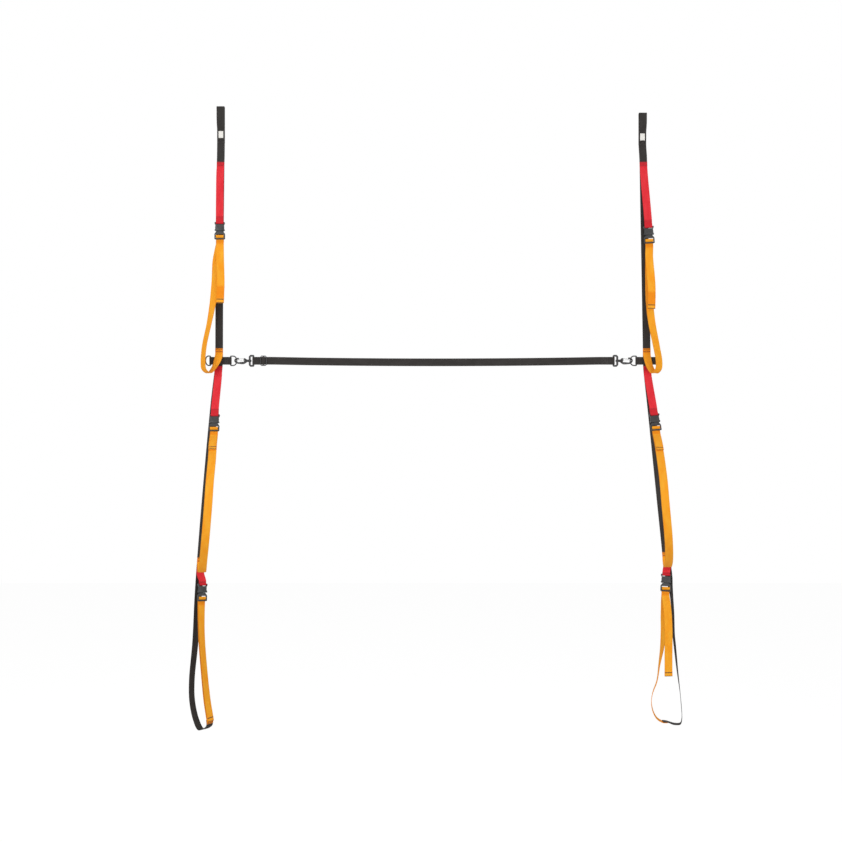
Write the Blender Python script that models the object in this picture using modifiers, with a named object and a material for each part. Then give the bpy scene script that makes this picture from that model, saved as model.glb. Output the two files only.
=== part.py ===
"""Wall-hung webbing rack for small boats.

Two webbing columns hang from two wall hooks and a strap between them keeps
their distance. Each column carries three slings; each sling closes with a
side-release buckle whose lower half is a ladder lock for the webbing.
Metres, +Z up, -Y towards the viewer, origin at the seat of the left loop.
"""
import math
from dataclasses import dataclass

import bmesh
import bpy
import numpy as np
from mathutils import Matrix, Vector

# Webbing
WEB_WIDTH = 0.0254
WEB_THICK = 0.0015
GAP = 0.0003
LAYER = WEB_THICK + GAP
FOLD_RADIUS = 0.0010

# Columns
COLUMN_SPACING = 1.391
RIGHT_DROP = 0.021
RIGHT_LOOP_SHORT = 0.013
LOOP_TOP_FLAT = 0.0090
LOOP_DEPTH = 0.0135
LOOP_OPEN_BOTTOM = 0.0705
LOOP_SEWN_TOP = 0.0765
LOOP_SEWN_BOTTOM = 0.117
LABEL_WIDTH = 0.0155
LABEL_HEIGHT = 0.0230
LABEL_THICK = 0.0006
TWIST_GAP = 0.0004

# Buckle
SLOT_ROOM = 0.0011
SLOT_WIDTH = WEB_WIDTH + 2 * SLOT_ROOM
FRAME_RAIL = 0.0037
FRAME_WIDTH = SLOT_WIDTH + 2 * FRAME_RAIL
FRAME_THICK = 0.0050
END_BAR_RADIUS = 0.0024
INNER_BAR_RADIUS = 0.0015
INNER_BAR_LOW = 0.0107
INNER_BAR_HIGH = 0.0117
MALE_BODY_BOTTOM = 0.0172
MALE_BODY_TOP = 0.0277
FEMALE_BOTTOM = 0.0280
BUCKLE_LENGTH = 0.0570
FEMALE_THICK = 0.0092
FEMALE_WAIST = 0.0280
FEMALE_BAR_RADIUS = 0.0022
CAVITY_WIDTH = 0.0230
CAVITY_THICK = 0.0064
CAVITY_TOP = 0.0470
WINDOW_BOTTOM = 0.0360
WINDOW_TOP = 0.0442
TONGUE_WIDTH = 0.0064
TONGUE_TOP = 0.0440
ARM_THICK = 0.0054
ARM_PIVOT_X = 0.0075
ARM_PIVOT_Z = 0.0284
TAB_FLAP = 0.022

# Cross straps, rings, snap hooks and slider
SPREADER_DROP = 0.8360
CROSS_HALF = 0.0330
LEFT_STRAP_CENTRE = -0.0020
RIGHT_STRAP_CENTRE = 0.0140
HOOK_HOLD = 0.0394
SLIDER_FROM_EYE = 0.0330
RING_WIRE = 0.0040
RING_INNER_HEIGHT = 0.0270
RING_DEPTH = 0.0250
EYE_WIDTH = 0.0185
EYE_HEIGHT = 0.0396
EYE_THICK = 0.0050
EYE_SLOT_WIDTH = 0.0070
EYE_SLOT_HEIGHT = 0.0270
HOOK_LENGTH = 0.0480
HOOK_HEIGHT = 0.0265
HOOK_THICK = 0.0050
HOOK_BOW_WIDTH = 0.0056
HOOK_SPINE_WIDTH = 0.0088
EYE_BOSS_RADIUS = 0.0042
SHANK_RADIUS = 0.0024
LUG_WIDTH = 0.0060
GATE_X = 0.0135
GATE_Z = 0.0068
GATE_WIRE = 0.0018
SLIDER_LENGTH = 0.0220
SLIDER_HEIGHT = 0.0340
SLIDER_THICK = 0.0025
SLIDER_BAR = 0.0040
SLIDER_SLOT = 0.0060

NAME = "boat_rack"
FINE = 14
SAG = 0.00025


@dataclass(frozen=True)
class Finish:
    """Plain look of one material."""

    name: str
    colour: tuple
    roughness: float
    metallic: float = 0.0


BLACK_WEB = Finish("black_webbing", (0.030, 0.028, 0.027), 0.85)
RED_WEB = Finish("red_webbing", (0.72, 0.045, 0.055), 0.80)
ORANGE_WEB = Finish("orange_webbing", (0.95, 0.34, 0.020), 0.80)
BLACK_PLASTIC = Finish("black_plastic", (0.022, 0.023, 0.025), 0.42)
COATED_METAL = Finish("black_coated_metal", (0.020, 0.021, 0.023), 0.38, 0.3)
BRIGHT_WIRE = Finish("bright_wire", (0.62, 0.62, 0.60), 0.28, 1.0)
LABEL_CLOTH = Finish("label_cloth", (0.055, 0.052, 0.050), 0.90)


def clear_scene():
    """Remove every object so the build starts empty."""
    for obj in list(bpy.data.objects):
        bpy.data.objects.remove(obj, do_unlink=True)


def new_collection(name, hidden):
    """Return a new collection linked to the scene."""
    coll = bpy.data.collections.new(name)
    bpy.context.scene.collection.children.link(coll)
    coll.hide_render = hidden
    return coll


def new_material(finish):
    """Return a Principled material made from a finish."""
    mat = bpy.data.materials.new(finish.name)
    mat.use_nodes = True
    node = mat.node_tree.nodes["Principled BSDF"]
    node.inputs["Base Color"].default_value = (*finish.colour, 1.0)
    node.inputs["Roughness"].default_value = finish.roughness
    node.inputs["Metallic"].default_value = finish.metallic
    mat.diffuse_color = (*finish.colour, 1.0)
    return mat


clear_scene()
RACK = new_collection(NAME, False)
CUTTERS = new_collection("cutters", True)
MATERIALS = {}


def material_of(finish):
    """Return the shared material of a finish."""
    if finish.name not in MATERIALS:
        MATERIALS[finish.name] = new_material(finish)
    return MATERIALS[finish.name]


def add_object(name, mesh, finish=None, matrix=None, smooth=False):
    """Put a mesh in the rack, or among the cutters when it has no finish."""
    obj = bpy.data.objects.new(name, mesh)
    if finish is None:
        CUTTERS.objects.link(obj)
        obj.display_type = "WIRE"
        obj.hide_render = True
    else:
        RACK.objects.link(obj)
        mesh.materials.clear()
        mesh.materials.append(material_of(finish))
    if matrix is not None:
        obj.matrix_world = matrix
    if smooth:
        for poly in mesh.polygons:
            poly.use_smooth = True
    return obj


def mesh_from(bm, name):
    """Turn a bmesh into a mesh with outward faces."""
    bmesh.ops.recalc_face_normals(bm, faces=bm.faces)
    mesh = bpy.data.meshes.new(name)
    bm.to_mesh(mesh)
    bm.free()
    return mesh


def box_bm(low, high):
    """Return a bmesh box between two corners."""
    bm = bmesh.new()
    bmesh.ops.create_cube(bm, size=1.0)
    size = Vector(high) - Vector(low)
    centre = (Vector(high) + Vector(low)) / 2
    bmesh.ops.scale(bm, vec=size, verts=bm.verts)
    bmesh.ops.translate(bm, vec=centre, verts=bm.verts)
    return bm


def rod_bm(start, end, radius, sides=16, turn=0.0):
    """Return a bmesh cylinder between two points."""
    start = Vector(start)
    axis = Vector(end) - start
    bm = bmesh.new()
    bmesh.ops.create_cone(bm, cap_ends=True, cap_tris=False, segments=sides,
                          radius1=radius, radius2=radius, depth=axis.length)
    swing = Vector((0, 0, 1)).rotation_difference(axis).to_matrix().to_4x4()
    place = Matrix.Translation(start + axis / 2) @ swing @ Matrix.Rotation(turn, 4, "Z")
    bmesh.ops.transform(bm, matrix=place, verts=bm.verts)
    return bm


def plate_bm(outline, thick):
    """Return a plate: an (x, z) outline given counter-clockwise, thick along Y."""
    bm = bmesh.new()
    verts = [bm.verts.new((x, -thick / 2, z)) for x, z in outline]
    face = bm.faces.new(verts)
    grown = bmesh.ops.extrude_face_region(bm, geom=[face])
    moved = [item for item in grown["geom"] if isinstance(item, bmesh.types.BMVert)]
    bmesh.ops.translate(bm, vec=(0, thick, 0), verts=moved)
    return bm


def mirrored(outline):
    """Close a right-hand half outline with its mirror image."""
    left = [(-x, z) for x, z in reversed(outline) if x > 1e-9]
    return list(outline) + left


def bake(name, base, steps, bevel=0.0, segments=1, angle=40.0):
    """Bevel a mesh, then join or cut it with others, and return the finished mesh.

    Args:
        name: name of the mesh that is made.
        base: bmesh of the first body.
        steps: list of (operation, bmesh), operation UNION or DIFFERENCE.
        bevel: width of the edge rounding put on the first body.
        segments: steps of that rounding.
        angle: smallest edge angle in degrees that is rounded.
    """
    obj = add_object(name + "_blank", mesh_from(base, name + "_blank"))
    if bevel > 0:
        round_edges(obj, bevel, segments, angle)
    for index, (operation, bm) in enumerate(steps):
        tool = add_object(f"{name}_cutter_{index}", mesh_from(bm, f"{name}_cutter_{index}"))
        boolean = obj.modifiers.new(f"step_{index}", "BOOLEAN")
        boolean.operation = operation
        boolean.solver = "EXACT"
        boolean.object = tool
    bpy.context.view_layer.update()
    graph = bpy.context.evaluated_depsgraph_get()
    mesh = bpy.data.meshes.new_from_object(obj.evaluated_get(graph))
    mesh.name = name
    bm = bmesh.new()
    bm.from_mesh(mesh)
    bmesh.ops.triangulate(bm, faces=bm.faces)
    bm.to_mesh(mesh)
    bm.free()
    return mesh


def round_edges(obj, width, segments, angle=40.0):
    """Add an edge rounding to an object."""
    bevel = obj.modifiers.new("round_edges", "BEVEL")
    bevel.width = width
    bevel.segments = segments
    bevel.limit_method = "ANGLE"
    bevel.angle_limit = math.radians(angle)
    bevel.use_clamp_overlap = True


def knot(x, y, z, turn=0.0, width=WEB_WIDTH):
    """Return a route point whose width lies level, turned about Z by degrees."""
    angle = math.radians(turn)
    return (x, y, z, math.cos(angle), math.sin(angle), 0.0, width)


def upright(x, y, z, width=WEB_WIDTH):
    """Return a route point whose width stands upright."""
    return (x, y, z, 0.0, 0.0, 1.0, width)


def placed(matrix, y, z, width=WEB_WIDTH):
    """Return a route point given in the middle plane of a buckle."""
    pos = matrix @ Vector((0.0, y, z))
    across = matrix.to_3x3() @ Vector((1, 0, 0))
    return (*pos, *across, width)


def smooth_route(knots):
    """Return fine samples of a centripetal curve through the route points."""
    rows = np.array(knots, dtype=float)
    chord = np.linalg.norm(np.diff(rows[:, :3], axis=0), axis=1)
    step = np.sqrt(np.maximum(chord, 1e-7))
    pace = np.diff(rows, axis=0) / step[:, None]
    slope = np.empty_like(rows)
    slope[0] = pace[0]
    slope[-1] = pace[-1]
    for i in range(1, len(rows) - 1):
        across = (rows[i + 1] - rows[i - 1]) / (step[i - 1] + step[i])
        slope[i] = pace[i - 1] - across + pace[i]
    out = []
    for i, h in enumerate(step):
        for s in np.arange(FINE) / FINE:
            out.append((1 + 2 * s) * (1 - s) ** 2 * rows[i] + s * (1 - s) ** 2 * h * slope[i]
                       + s * s * (3 - 2 * s) * rows[i + 1] + s * s * (s - 1) * h * slope[i + 1])
    out.append(rows[-1])
    return np.array(out)


def with_frames(rows):
    """Return the unit direction and unit width of every sample."""
    forward = np.gradient(rows[:, :3], axis=0)
    forward /= np.linalg.norm(forward, axis=1)[:, None]
    across = rows[:, 3:6]
    across = across - (across * forward).sum(axis=1)[:, None] * forward
    across /= np.linalg.norm(across, axis=1)[:, None]
    return forward, across


def thinned(rows, max_turn=24.0, max_step=0.060):
    """Keep only the samples a strap needs to look bent and twisted."""
    forward, across = with_frames(rows)
    keep = [0]
    for i in range(1, len(rows) - 1):
        last = keep[-1]
        bend = math.acos(float(np.clip(forward[i] @ forward[last], -1, 1)))
        twist = math.acos(float(np.clip(across[i] @ across[last], -1, 1)))
        run = float(np.linalg.norm(rows[i, :3] - rows[last, :3]))
        sharp = max(bend, 1.8 * twist) > math.radians(max_turn) or bend * run > 8 * SAG
        if sharp or run > max_step or (i % FINE == 0 and run > 0.0008):
            keep.append(i)
    keep.append(len(rows) - 1)
    return rows[keep], forward[keep], across[keep]


def strip_mesh(name, knots, max_turn=24.0, max_step=0.060):
    """Return the middle surface of a strap laid along a route."""
    rows, _, across = thinned(smooth_route(knots), max_turn, max_step)
    count = len(rows)
    bm = bmesh.new()
    bmesh.ops.create_grid(bm, x_segments=count - 1, y_segments=1, size=1.0)
    for vert in bm.verts:
        index = round((vert.co.x + 1) / 2 * (count - 1))
        side = 0.5 if vert.co.y > 0 else -0.5
        vert.co = Vector(rows[index, :3]) + Vector(across[index]) * side * rows[index, 6]
    mesh = bpy.data.meshes.new(name)
    bm.to_mesh(mesh)
    bm.free()
    return mesh


def thicken(obj, thick):
    """Give a strap its thickness, half to each side."""
    solid = obj.modifiers.new("thickness", "SOLIDIFY")
    solid.thickness = thick
    solid.offset = 0.0
    solid.use_even_offset = True
    solid.use_quality_normals = True


def strap(name, knots, finish, max_turn=24.0, max_step=0.060):
    """Lay a webbing strap along a route."""
    obj = add_object(name, strip_mesh(name, knots, max_turn, max_step), finish)
    thicken(obj, WEB_THICK)
    return obj


def female_outline():
    """Right-hand half outline of the upper buckle body, bottom to top."""
    waist = FEMALE_WAIST / 2
    wide = FRAME_WIDTH / 2 - 0.0008
    top = BUCKLE_LENGTH
    return [(0.0, FEMALE_BOTTOM), (wide - 0.0012, FEMALE_BOTTOM), (wide, FEMALE_BOTTOM + 0.0015),
            (waist + 0.0012, FEMALE_BOTTOM + 0.0062), (waist, FEMALE_BOTTOM + 0.0080),
            (waist, CAVITY_TOP - 0.0005), (waist + 0.0010, CAVITY_TOP + 0.0018),
            (wide, top - 0.0050), (wide, top - 0.0012), (wide - 0.0012, top), (0.0, top)]


def female_mesh():
    """Return the upper buckle body with its bar, cavity and side windows."""
    bar_z = BUCKLE_LENGTH - FEMALE_BAR_RADIUS - 0.0001
    slot_low = bar_z - FEMALE_BAR_RADIUS - 0.0033
    half_slot = SLOT_WIDTH / 2
    half_cavity = CAVITY_THICK / 2
    front = -FEMALE_THICK / 2
    chevron = [(0.0, FEMALE_BOTTOM + 0.0040), (0.0070, CAVITY_TOP - 0.0030),
               (-0.0070, CAVITY_TOP - 0.0030)]
    mark = plate_bm(chevron, 0.0012)
    bmesh.ops.translate(mark, vec=(0, front, 0), verts=mark.verts)
    steps = [
        ("DIFFERENCE", box_bm((-half_slot, -0.01, slot_low), (half_slot, 0.01, 0.08))),
        ("UNION", rod_bm((-half_slot - 0.001, 0, bar_z), (half_slot + 0.001, 0, bar_z),
                         FEMALE_BAR_RADIUS, 14)),
        ("DIFFERENCE", box_bm((-CAVITY_WIDTH / 2, -half_cavity, 0.0),
                              (CAVITY_WIDTH / 2, half_cavity, CAVITY_TOP))),
        ("DIFFERENCE", box_bm((-0.03, -half_cavity + 0.0002, WINDOW_BOTTOM),
                              (0.03, half_cavity - 0.0002, WINDOW_TOP))),
        ("DIFFERENCE", mark),
    ]
    base = plate_bm(mirrored(female_outline()), FEMALE_THICK)
    return bake("female_body", base, steps, bevel=0.0011, segments=2, angle=60)


def male_outline():
    """Right-hand half outline of the lower buckle body, bottom to top."""
    wide = FRAME_WIDTH / 2
    return [(0.0, 0.0004), (wide - 0.0014, 0.0004), (wide, 0.0022),
            (wide, MALE_BODY_BOTTOM + 0.0006), (wide - 0.0018, MALE_BODY_BOTTOM + 0.0040),
            (0.0122, MALE_BODY_TOP - 0.0024), (0.0108, MALE_BODY_TOP), (0.0, MALE_BODY_TOP)]


def male_mesh():
    """Return the lower buckle body: ladder lock, shoulder and guide tongue."""
    half = SLOT_WIDTH / 2
    tongue = TONGUE_WIDTH / 2
    steps = [
        ("DIFFERENCE", box_bm((-half, -0.01, -0.01), (half, 0.01, MALE_BODY_BOTTOM))),
        ("UNION", rod_bm((-half - 0.0013, 0, END_BAR_RADIUS), (half + 0.0013, 0, END_BAR_RADIUS),
                         END_BAR_RADIUS, 16, 0.19)),
        ("UNION", inner_bar_bm(half + 0.001)),
        ("UNION", box_bm((-tongue, -0.0024, MALE_BODY_TOP - 0.002),
                         (tongue, 0.0024, TONGUE_TOP))),
    ]
    base = plate_bm(mirrored(male_outline()), FRAME_THICK)
    return bake("male_body", base, steps, bevel=0.0009, segments=1, angle=60)


def inner_bar_bm(half):
    """Return the flattened bar the webbing doubles round in the ladder lock."""
    middle = (INNER_BAR_LOW + INNER_BAR_HIGH) / 2
    reach = (INNER_BAR_HIGH - INNER_BAR_LOW) / 2
    bm = rod_bm((-half, 0, middle), (half, 0, middle), INNER_BAR_RADIUS, 12)
    for vert in bm.verts:
        vert.co.z += reach if vert.co.z > middle else -reach
    return bm


def arm_mesh():
    """Return one release arm, its origin on its root."""
    outline = [(-0.0011, -0.0003), (0.0013, -0.0003), (0.0021, 0.0056), (0.0033, 0.0079),
               (0.0068, 0.0086), (0.0076, 0.0112), (0.0068, 0.0146), (0.0035, 0.0152),
               (0.0023, 0.0162), (0.0007, 0.0162), (0.0001, 0.0116), (-0.0005, 0.0056)]
    return bake("release_arm", plate_bm(outline, ARM_THICK), [], bevel=0.0005, angle=30)


def frame_matrix(pos, turn=0.0, tilt=0.0, lean=0.0):
    """Return a buckle placement.

    Args:
        pos: middle of the lower end bar.
        turn: degrees about Z.
        tilt: degrees its upper end lies back.
        lean: degrees its upper end lies to the left.
    """
    up = Vector((-math.tan(math.radians(lean)), math.tan(math.radians(tilt)), 1.0)).normalized()
    angle = math.radians(turn)
    across = Vector((math.cos(angle), math.sin(angle), 0.0))
    across = (across - across.dot(up) * up).normalized()
    back = up.cross(across)
    matrix = Matrix((across, back, up)).transposed().to_4x4()
    matrix.translation = Vector(pos)
    return matrix


def arc(centre, radius, start, end, count):
    """Return (y, z) points on an arc given in degrees."""
    return [(centre[0] + radius * math.cos(math.radians(a)),
             centre[1] + radius * math.sin(math.radians(a)))
            for a in np.linspace(start, end, count)]


def ladder_weave():
    """Return the (y, z) course of the webbing through the ladder lock.

    It comes up behind, turns over the inner bar, runs down through the lower
    slot and leaves between the end bar and its own rising part.
    """
    inner = INNER_BAR_RADIUS + GAP + WEB_THICK / 2
    outer = END_BAR_RADIUS + GAP + WEB_THICK / 2
    load = outer + LAYER
    low = (0.0, END_BAR_RADIUS)
    rise = math.degrees(math.asin((load - inner) / (INNER_BAR_HIGH - END_BAR_RADIUS)))
    cross = math.degrees(math.asin((outer + inner) / (INNER_BAR_LOW - END_BAR_RADIUS)))
    course = [(load, -0.010), (load, -0.003)]
    course += arc(low, load, 0, rise, 3)
    course += arc((0.0, INNER_BAR_HIGH), inner, rise, 180, 7)
    course += arc((0.0, INNER_BAR_LOW), inner, 180, 180 + cross, 4)
    course += arc(low, outer, cross, 0, 4)
    course += [(outer, -0.003), (outer, -0.010)]
    return course


def bar_weave(flap):
    """Return the (y, z) course of the tab round the bar of the upper body."""
    bar_z = BUCKLE_LENGTH - FEMALE_BAR_RADIUS - 0.0001
    radius = FEMALE_BAR_RADIUS + GAP + WEB_THICK / 2
    half = LAYER / 2
    course = [(-half, bar_z + flap + 0.004), (-half, bar_z + min(0.012, flap - 0.001))]
    course += arc((0.0, bar_z), radius, 180, 360, 8)
    course += [(half, bar_z + min(0.012, flap - 0.001)), (half, bar_z + flap)]
    return course


def fold_back(end, along, back, length, radius=FOLD_RADIUS):
    """Return route points (3-D) that fold a strap end behind itself."""
    points = []
    for angle in (45, 90, 135, 180):
        a = math.radians(angle)
        points.append(end + along * radius * math.sin(a) + back * radius * (1 - math.cos(a)))
    points.append(end + back * 2 * radius - along * length * 0.5)
    points.append(end + back * 2 * radius - along * length)
    return points


@dataclass
class Sling:
    """One sling of a column: tab, buckle and adjustable strap.

    Routes are given in world metres; load runs from the sewn end to the
    buckle, tail from the buckle to the folded hem.
    """

    name: str
    tab: list
    buckle: Matrix
    load: list
    tail: list
    hem: float
    flap: float = TAB_FLAP


def build_buckle(sling, meshes):
    """Place the two bodies and the two release arms of one buckle."""
    place = sling.buckle
    pos = place @ Matrix.Translation((0, 0, 0))
    add_object(sling.name + "_male", meshes["male"].copy(), BLACK_PLASTIC, pos)
    add_object(sling.name + "_female", meshes["female"].copy(), BLACK_PLASTIC, pos)
    for side, tag in ((1, "right_arm"), (-1, "left_arm")):
        root = place @ Matrix.Translation((side * ARM_PIVOT_X, 0, ARM_PIVOT_Z))
        if side < 0:
            root = root @ Matrix.Rotation(math.pi, 4, "Z")
        add_object(f"{sling.name}_{tag}", meshes["arm"].copy(), BLACK_PLASTIC, root)


def build_tab(sling):
    """Lay the short strap from the backbone round the upper buckle bar."""
    knots = list(sling.tab)
    knots += [placed(sling.buckle, y, z) for y, z in bar_weave(sling.flap)]
    strap(sling.name + "_tab", knots, RED_WEB)


def build_sling_strap(sling):
    """Lay the adjustable strap: seam, load strand, ladder lock, tail and hem."""
    knots = list(sling.load)
    knots += [placed(sling.buckle, y, z) for y, z in ladder_weave()]
    knots += sling.tail
    end = Vector(knots[-1][:3])
    across = Vector(knots[-1][3:6])
    along = (end - Vector(knots[-2][:3])).normalized()
    across = (across - across.dot(along) * along).normalized()
    back = across.cross(along)
    straight = [end - along * sling.hem * 0.5, end - along * 0.003]
    knots = knots[:-1] + [(*point, *across, WEB_WIDTH) for point in straight] + knots[-1:]
    for point in fold_back(end, along, back, sling.hem):
        knots.append((*point, *across, WEB_WIDTH))
    strap(sling.name + "_strap", knots, ORANGE_WEB)


def hanging_loop(drop=0.0, short=0.0):
    """Return the route of the folded loop from its sewn end to the front strand.

    Args:
        drop: height of the loop's top under the left one.
        short: length by which the open part is shorter.
    """
    rear = LAYER
    top = WEB_THICK / 2
    front = rear - LOOP_DEPTH
    corner = 0.0024
    back_corner = rear - corner
    front_corner = back_corner - LOOP_TOP_FLAT
    sewn_top = short - LOOP_SEWN_TOP
    sewn_bottom = short - LOOP_SEWN_BOTTOM
    course = [(rear, sewn_bottom), (rear, sewn_top), (rear, -0.040),
              (rear, -0.008), (rear, top - corner)]
    course += arc((back_corner, top - corner), corner, 0, 90, 4)[1:]
    course += arc((front_corner, top - corner), corner, 90, 180, 4)
    course += [(front, -0.010), (front + 0.0006, short / 2 - 0.035),
               (front + 0.0050, short - 0.057), (-0.0010, short - LOOP_OPEN_BOTTOM),
               (0.0, sewn_top), (0.0, sewn_top - 0.004), (0.0, sewn_bottom)]
    return [knot(0.0, y, z - drop) for y, z in course]


def build_label(name, x, drop, short):
    """Add the blank cloth patch on the sewn part of a hanging loop."""
    y = -WEB_THICK / 2 - GAP
    top = short - LOOP_SEWN_TOP - 0.0015 - drop
    low = (x - LABEL_WIDTH / 2, y - LABEL_THICK, top - LABEL_HEIGHT)
    high = (x + LABEL_WIDTH / 2, y, top)
    add_object(name, mesh_from(box_bm(low, high), name), LABEL_CLOTH)


def ring_points(side):
    """Return the (x, z) centre line of a ring, its straight bar on x = 0."""
    half = (RING_INNER_HEIGHT + RING_WIRE) / 2
    reach = RING_DEPTH - RING_WIRE
    corner = 0.0026
    points = [(0.0, -half + corner), (0.0, half - corner)]
    points += [(corner - corner * math.cos(math.radians(a)),
                half - corner + corner * math.sin(math.radians(a))) for a in (40, 90)]
    bow = reach - half * 0.80
    for a in np.linspace(90, -90, 13):
        points.append((bow + half * 0.80 * math.cos(math.radians(a)),
                       half * math.sin(math.radians(a))))
    points += [(corner - corner * math.cos(math.radians(a)),
                -half + corner - corner * math.sin(math.radians(a))) for a in (90, 40)]
    return [(side * x, z) for x, z in points]


def wire(name, points, radius, finish, matrix=None, closed=False, sides=2):
    """Make a bent wire from a line with a round bevel."""
    curve = bpy.data.curves.new(name + "_line", "CURVE")
    curve.dimensions = "3D"
    curve.bevel_depth = radius
    curve.bevel_resolution = sides
    curve.use_fill_caps = not closed
    line = curve.splines.new("POLY")
    line.points.add(len(points) - 1)
    for point, pos in zip(line.points, points):
        point.co = (*pos, 1.0)
    line.use_cyclic_u = closed
    source = bpy.data.objects.new(name + "_line", curve)
    CUTTERS.objects.link(source)
    bpy.context.view_layer.update()
    graph = bpy.context.evaluated_depsgraph_get()
    mesh = bpy.data.meshes.new_from_object(source.evaluated_get(graph))
    bpy.data.objects.remove(source, do_unlink=True)
    mesh.name = name
    bm = bmesh.new()
    bm.from_mesh(mesh)
    bmesh.ops.remove_doubles(bm, verts=bm.verts, dist=1e-6)
    bmesh.ops.recalc_face_normals(bm, faces=bm.faces)
    bm.to_mesh(mesh)
    bm.free()
    return add_object(name, mesh, finish, matrix, smooth=True)


def cross_strap_route(half, centre_x, z, y_mid):
    """Return the strap folded round both rings, its ends meeting at the back."""
    radius = RING_WIRE / 2 + GAP + WEB_THICK / 2
    front = y_mid - LAYER / 2
    rear = y_mid + LAYER / 2
    left = centre_x - half
    right = centre_x + half
    course = [(centre_x - 0.0008, rear), (left + 0.015, rear), (left + 0.011, rear)]
    course += arc((left, y_mid), radius, 65, 295, 9)
    course += [(left + 0.011, front), (left + 0.015, front)]
    course += [(right - 0.015, front), (right - 0.011, front)]
    course += arc((right, y_mid), radius, -115, 115, 9)
    course += [(right - 0.011, rear), (right - 0.015, rear), (centre_x + 0.0008, rear)]
    return [upright(x, y, z) for x, y in course]


def eye_mesh():
    """Return the swivel eye, its webbing bar on the Z axis."""
    bar = EYE_THICK / 2
    far = EYE_WIDTH - bar
    wall = bar + EYE_SLOT_WIDTH
    half = EYE_HEIGHT / 2
    slot = EYE_SLOT_HEIGHT / 2
    outline = [(-bar, -half + 0.003), (-bar + 0.003, -half), (far - 0.005, -half),
               (far, -half + 0.006), (far, half - 0.006), (far - 0.005, half),
               (-bar + 0.003, half), (-bar, half - 0.003)]
    steps = [
        ("DIFFERENCE", box_bm((-0.01, -0.01, -slot), (wall, 0.01, slot))),
        ("UNION", rod_bm((0, 0, -slot - 0.001), (0, 0, slot + 0.001), bar - 0.0001, 16)),
        ("UNION", rod_bm((wall + 0.0001, 0, 0), (far - 0.0001, 0, 0), EYE_BOSS_RADIUS, 18)),
        ("DIFFERENCE", rod_bm((wall - 0.003, 0, 0), (far + 0.003, 0, 0), SHANK_RADIUS + GAP, 16)),
    ]
    return bake("swivel_eye", plate_bm(outline, EYE_THICK), steps, bevel=0.0012, segments=1)


def hook_outline():
    """Return the (x, z, width) centre line of the hook from neck to nose."""
    high = (HOOK_HEIGHT - HOOK_THICK) / 2
    centre = HOOK_LENGTH - HOOK_THICK / 2 - high
    spine = HOOK_SPINE_WIDTH
    bow = HOOK_BOW_WIDTH
    line = [(0.0050, -0.0004, spine), (0.0090, -0.0030, spine), (0.0130, -0.0072, spine),
            (0.0185, -high + 0.0002, spine), (0.0250, -high, spine),
            (centre - 0.0040, -high, bow + 0.0012), (centre, -high, bow)]
    for a in np.linspace(-90, 90, 9)[1:]:
        angle = math.radians(a)
        line.append((centre + high * math.cos(angle), high * math.sin(angle), bow))
    line.append((centre - 0.0034, high - 0.0006, bow))
    return line


def hook_mesh():
    """Return the snap hook body with its swivel shank and gate lug."""
    knots = [(x, 0.0, z, 0.0, 1.0, 0.0, width) for x, z, width in hook_outline()]
    obj = add_object("hook_blank", strip_mesh("hook_blank", knots, 26.0, 0.02))
    thicken(obj, HOOK_THICK)
    round_edges(obj, 0.0014, 1, 50)
    bpy.context.view_layer.update()
    graph = bpy.context.evaluated_depsgraph_get()
    blank = bpy.data.meshes.new_from_object(obj.evaluated_get(graph))
    base = bmesh.new()
    base.from_mesh(blank)
    wall = EYE_WIDTH - EYE_THICK - EYE_SLOT_WIDTH
    lug = [(0.0052, -0.0026), (0.0100, -0.0040), (0.0150, -0.0010), (0.0168, 0.0050),
           (0.0160, 0.0084), (0.0135, 0.0096), (0.0108, 0.0086), (0.0060, 0.0028)]
    steps = [
        ("UNION", plate_bm(lug, LUG_WIDTH)),
        ("UNION", rod_bm((0.0003, 0, 0), (0.0070, 0, 0), 0.0043, 16)),
        ("UNION", rod_bm((-wall - 0.0010, 0, 0), (0.0040, 0, 0), SHANK_RADIUS, 16)),
        ("UNION", rod_bm((-wall - 0.0021, 0, 0), (-wall - GAP, 0, 0), 0.0036, 16)),
        ("DIFFERENCE", rod_bm((GATE_X, -0.01, GATE_Z), (GATE_X, 0.01, GATE_Z),
                              GATE_WIRE / 2 + GAP, 10)),
    ]
    return bake("snap_hook", base, steps)


def gate_points():
    """Return the bent wire of the gate, its pivot at the origin."""
    half = LUG_WIDTH / 2 + GAP + GATE_WIRE / 2
    reach = HOOK_LENGTH - HOOK_THICK / 2 - (HOOK_HEIGHT - HOOK_THICK) / 2 - GATE_X - 0.0016
    drop = -0.0008
    side = [(0.0, half - 0.0022, 0.0), (0.0, half, 0.0), (0.0040, half, 0.0),
            (reach - 0.0016, 0.0024, drop), (reach, 0.0010, drop)]
    return side + [(x, -y, z) for x, y, z in reversed(side)]


def slider_mesh():
    """Return the three-bar slider, its middle bar on the Z axis."""
    half = SLIDER_LENGTH / 2
    high = SLIDER_HEIGHT / 2
    slot = SLOT_WIDTH / 2
    bar = SLIDER_BAR / 2
    outline = [(-half, -high + 0.004), (-half + 0.004, -high), (half - 0.004, -high),
               (half, -high + 0.004), (half, high - 0.004), (half - 0.004, high),
               (-half + 0.004, high), (-half, high - 0.004)]
    window = bar + SLIDER_SLOT
    middle = rod_bm((0, 0, -slot - 0.001), (0, 0, slot + 0.001), SLIDER_THICK / 2 - 0.0001, 14)
    for vert in middle.verts:
        vert.co.x += math.copysign(bar - SLIDER_THICK / 2, vert.co.x)
    steps = [("DIFFERENCE", box_bm((-window, -0.01, -slot), (window, 0.01, slot))),
             ("UNION", middle)]
    return bake("slider", plate_bm(outline, SLIDER_THICK), steps, bevel=0.0007, segments=1)


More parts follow.
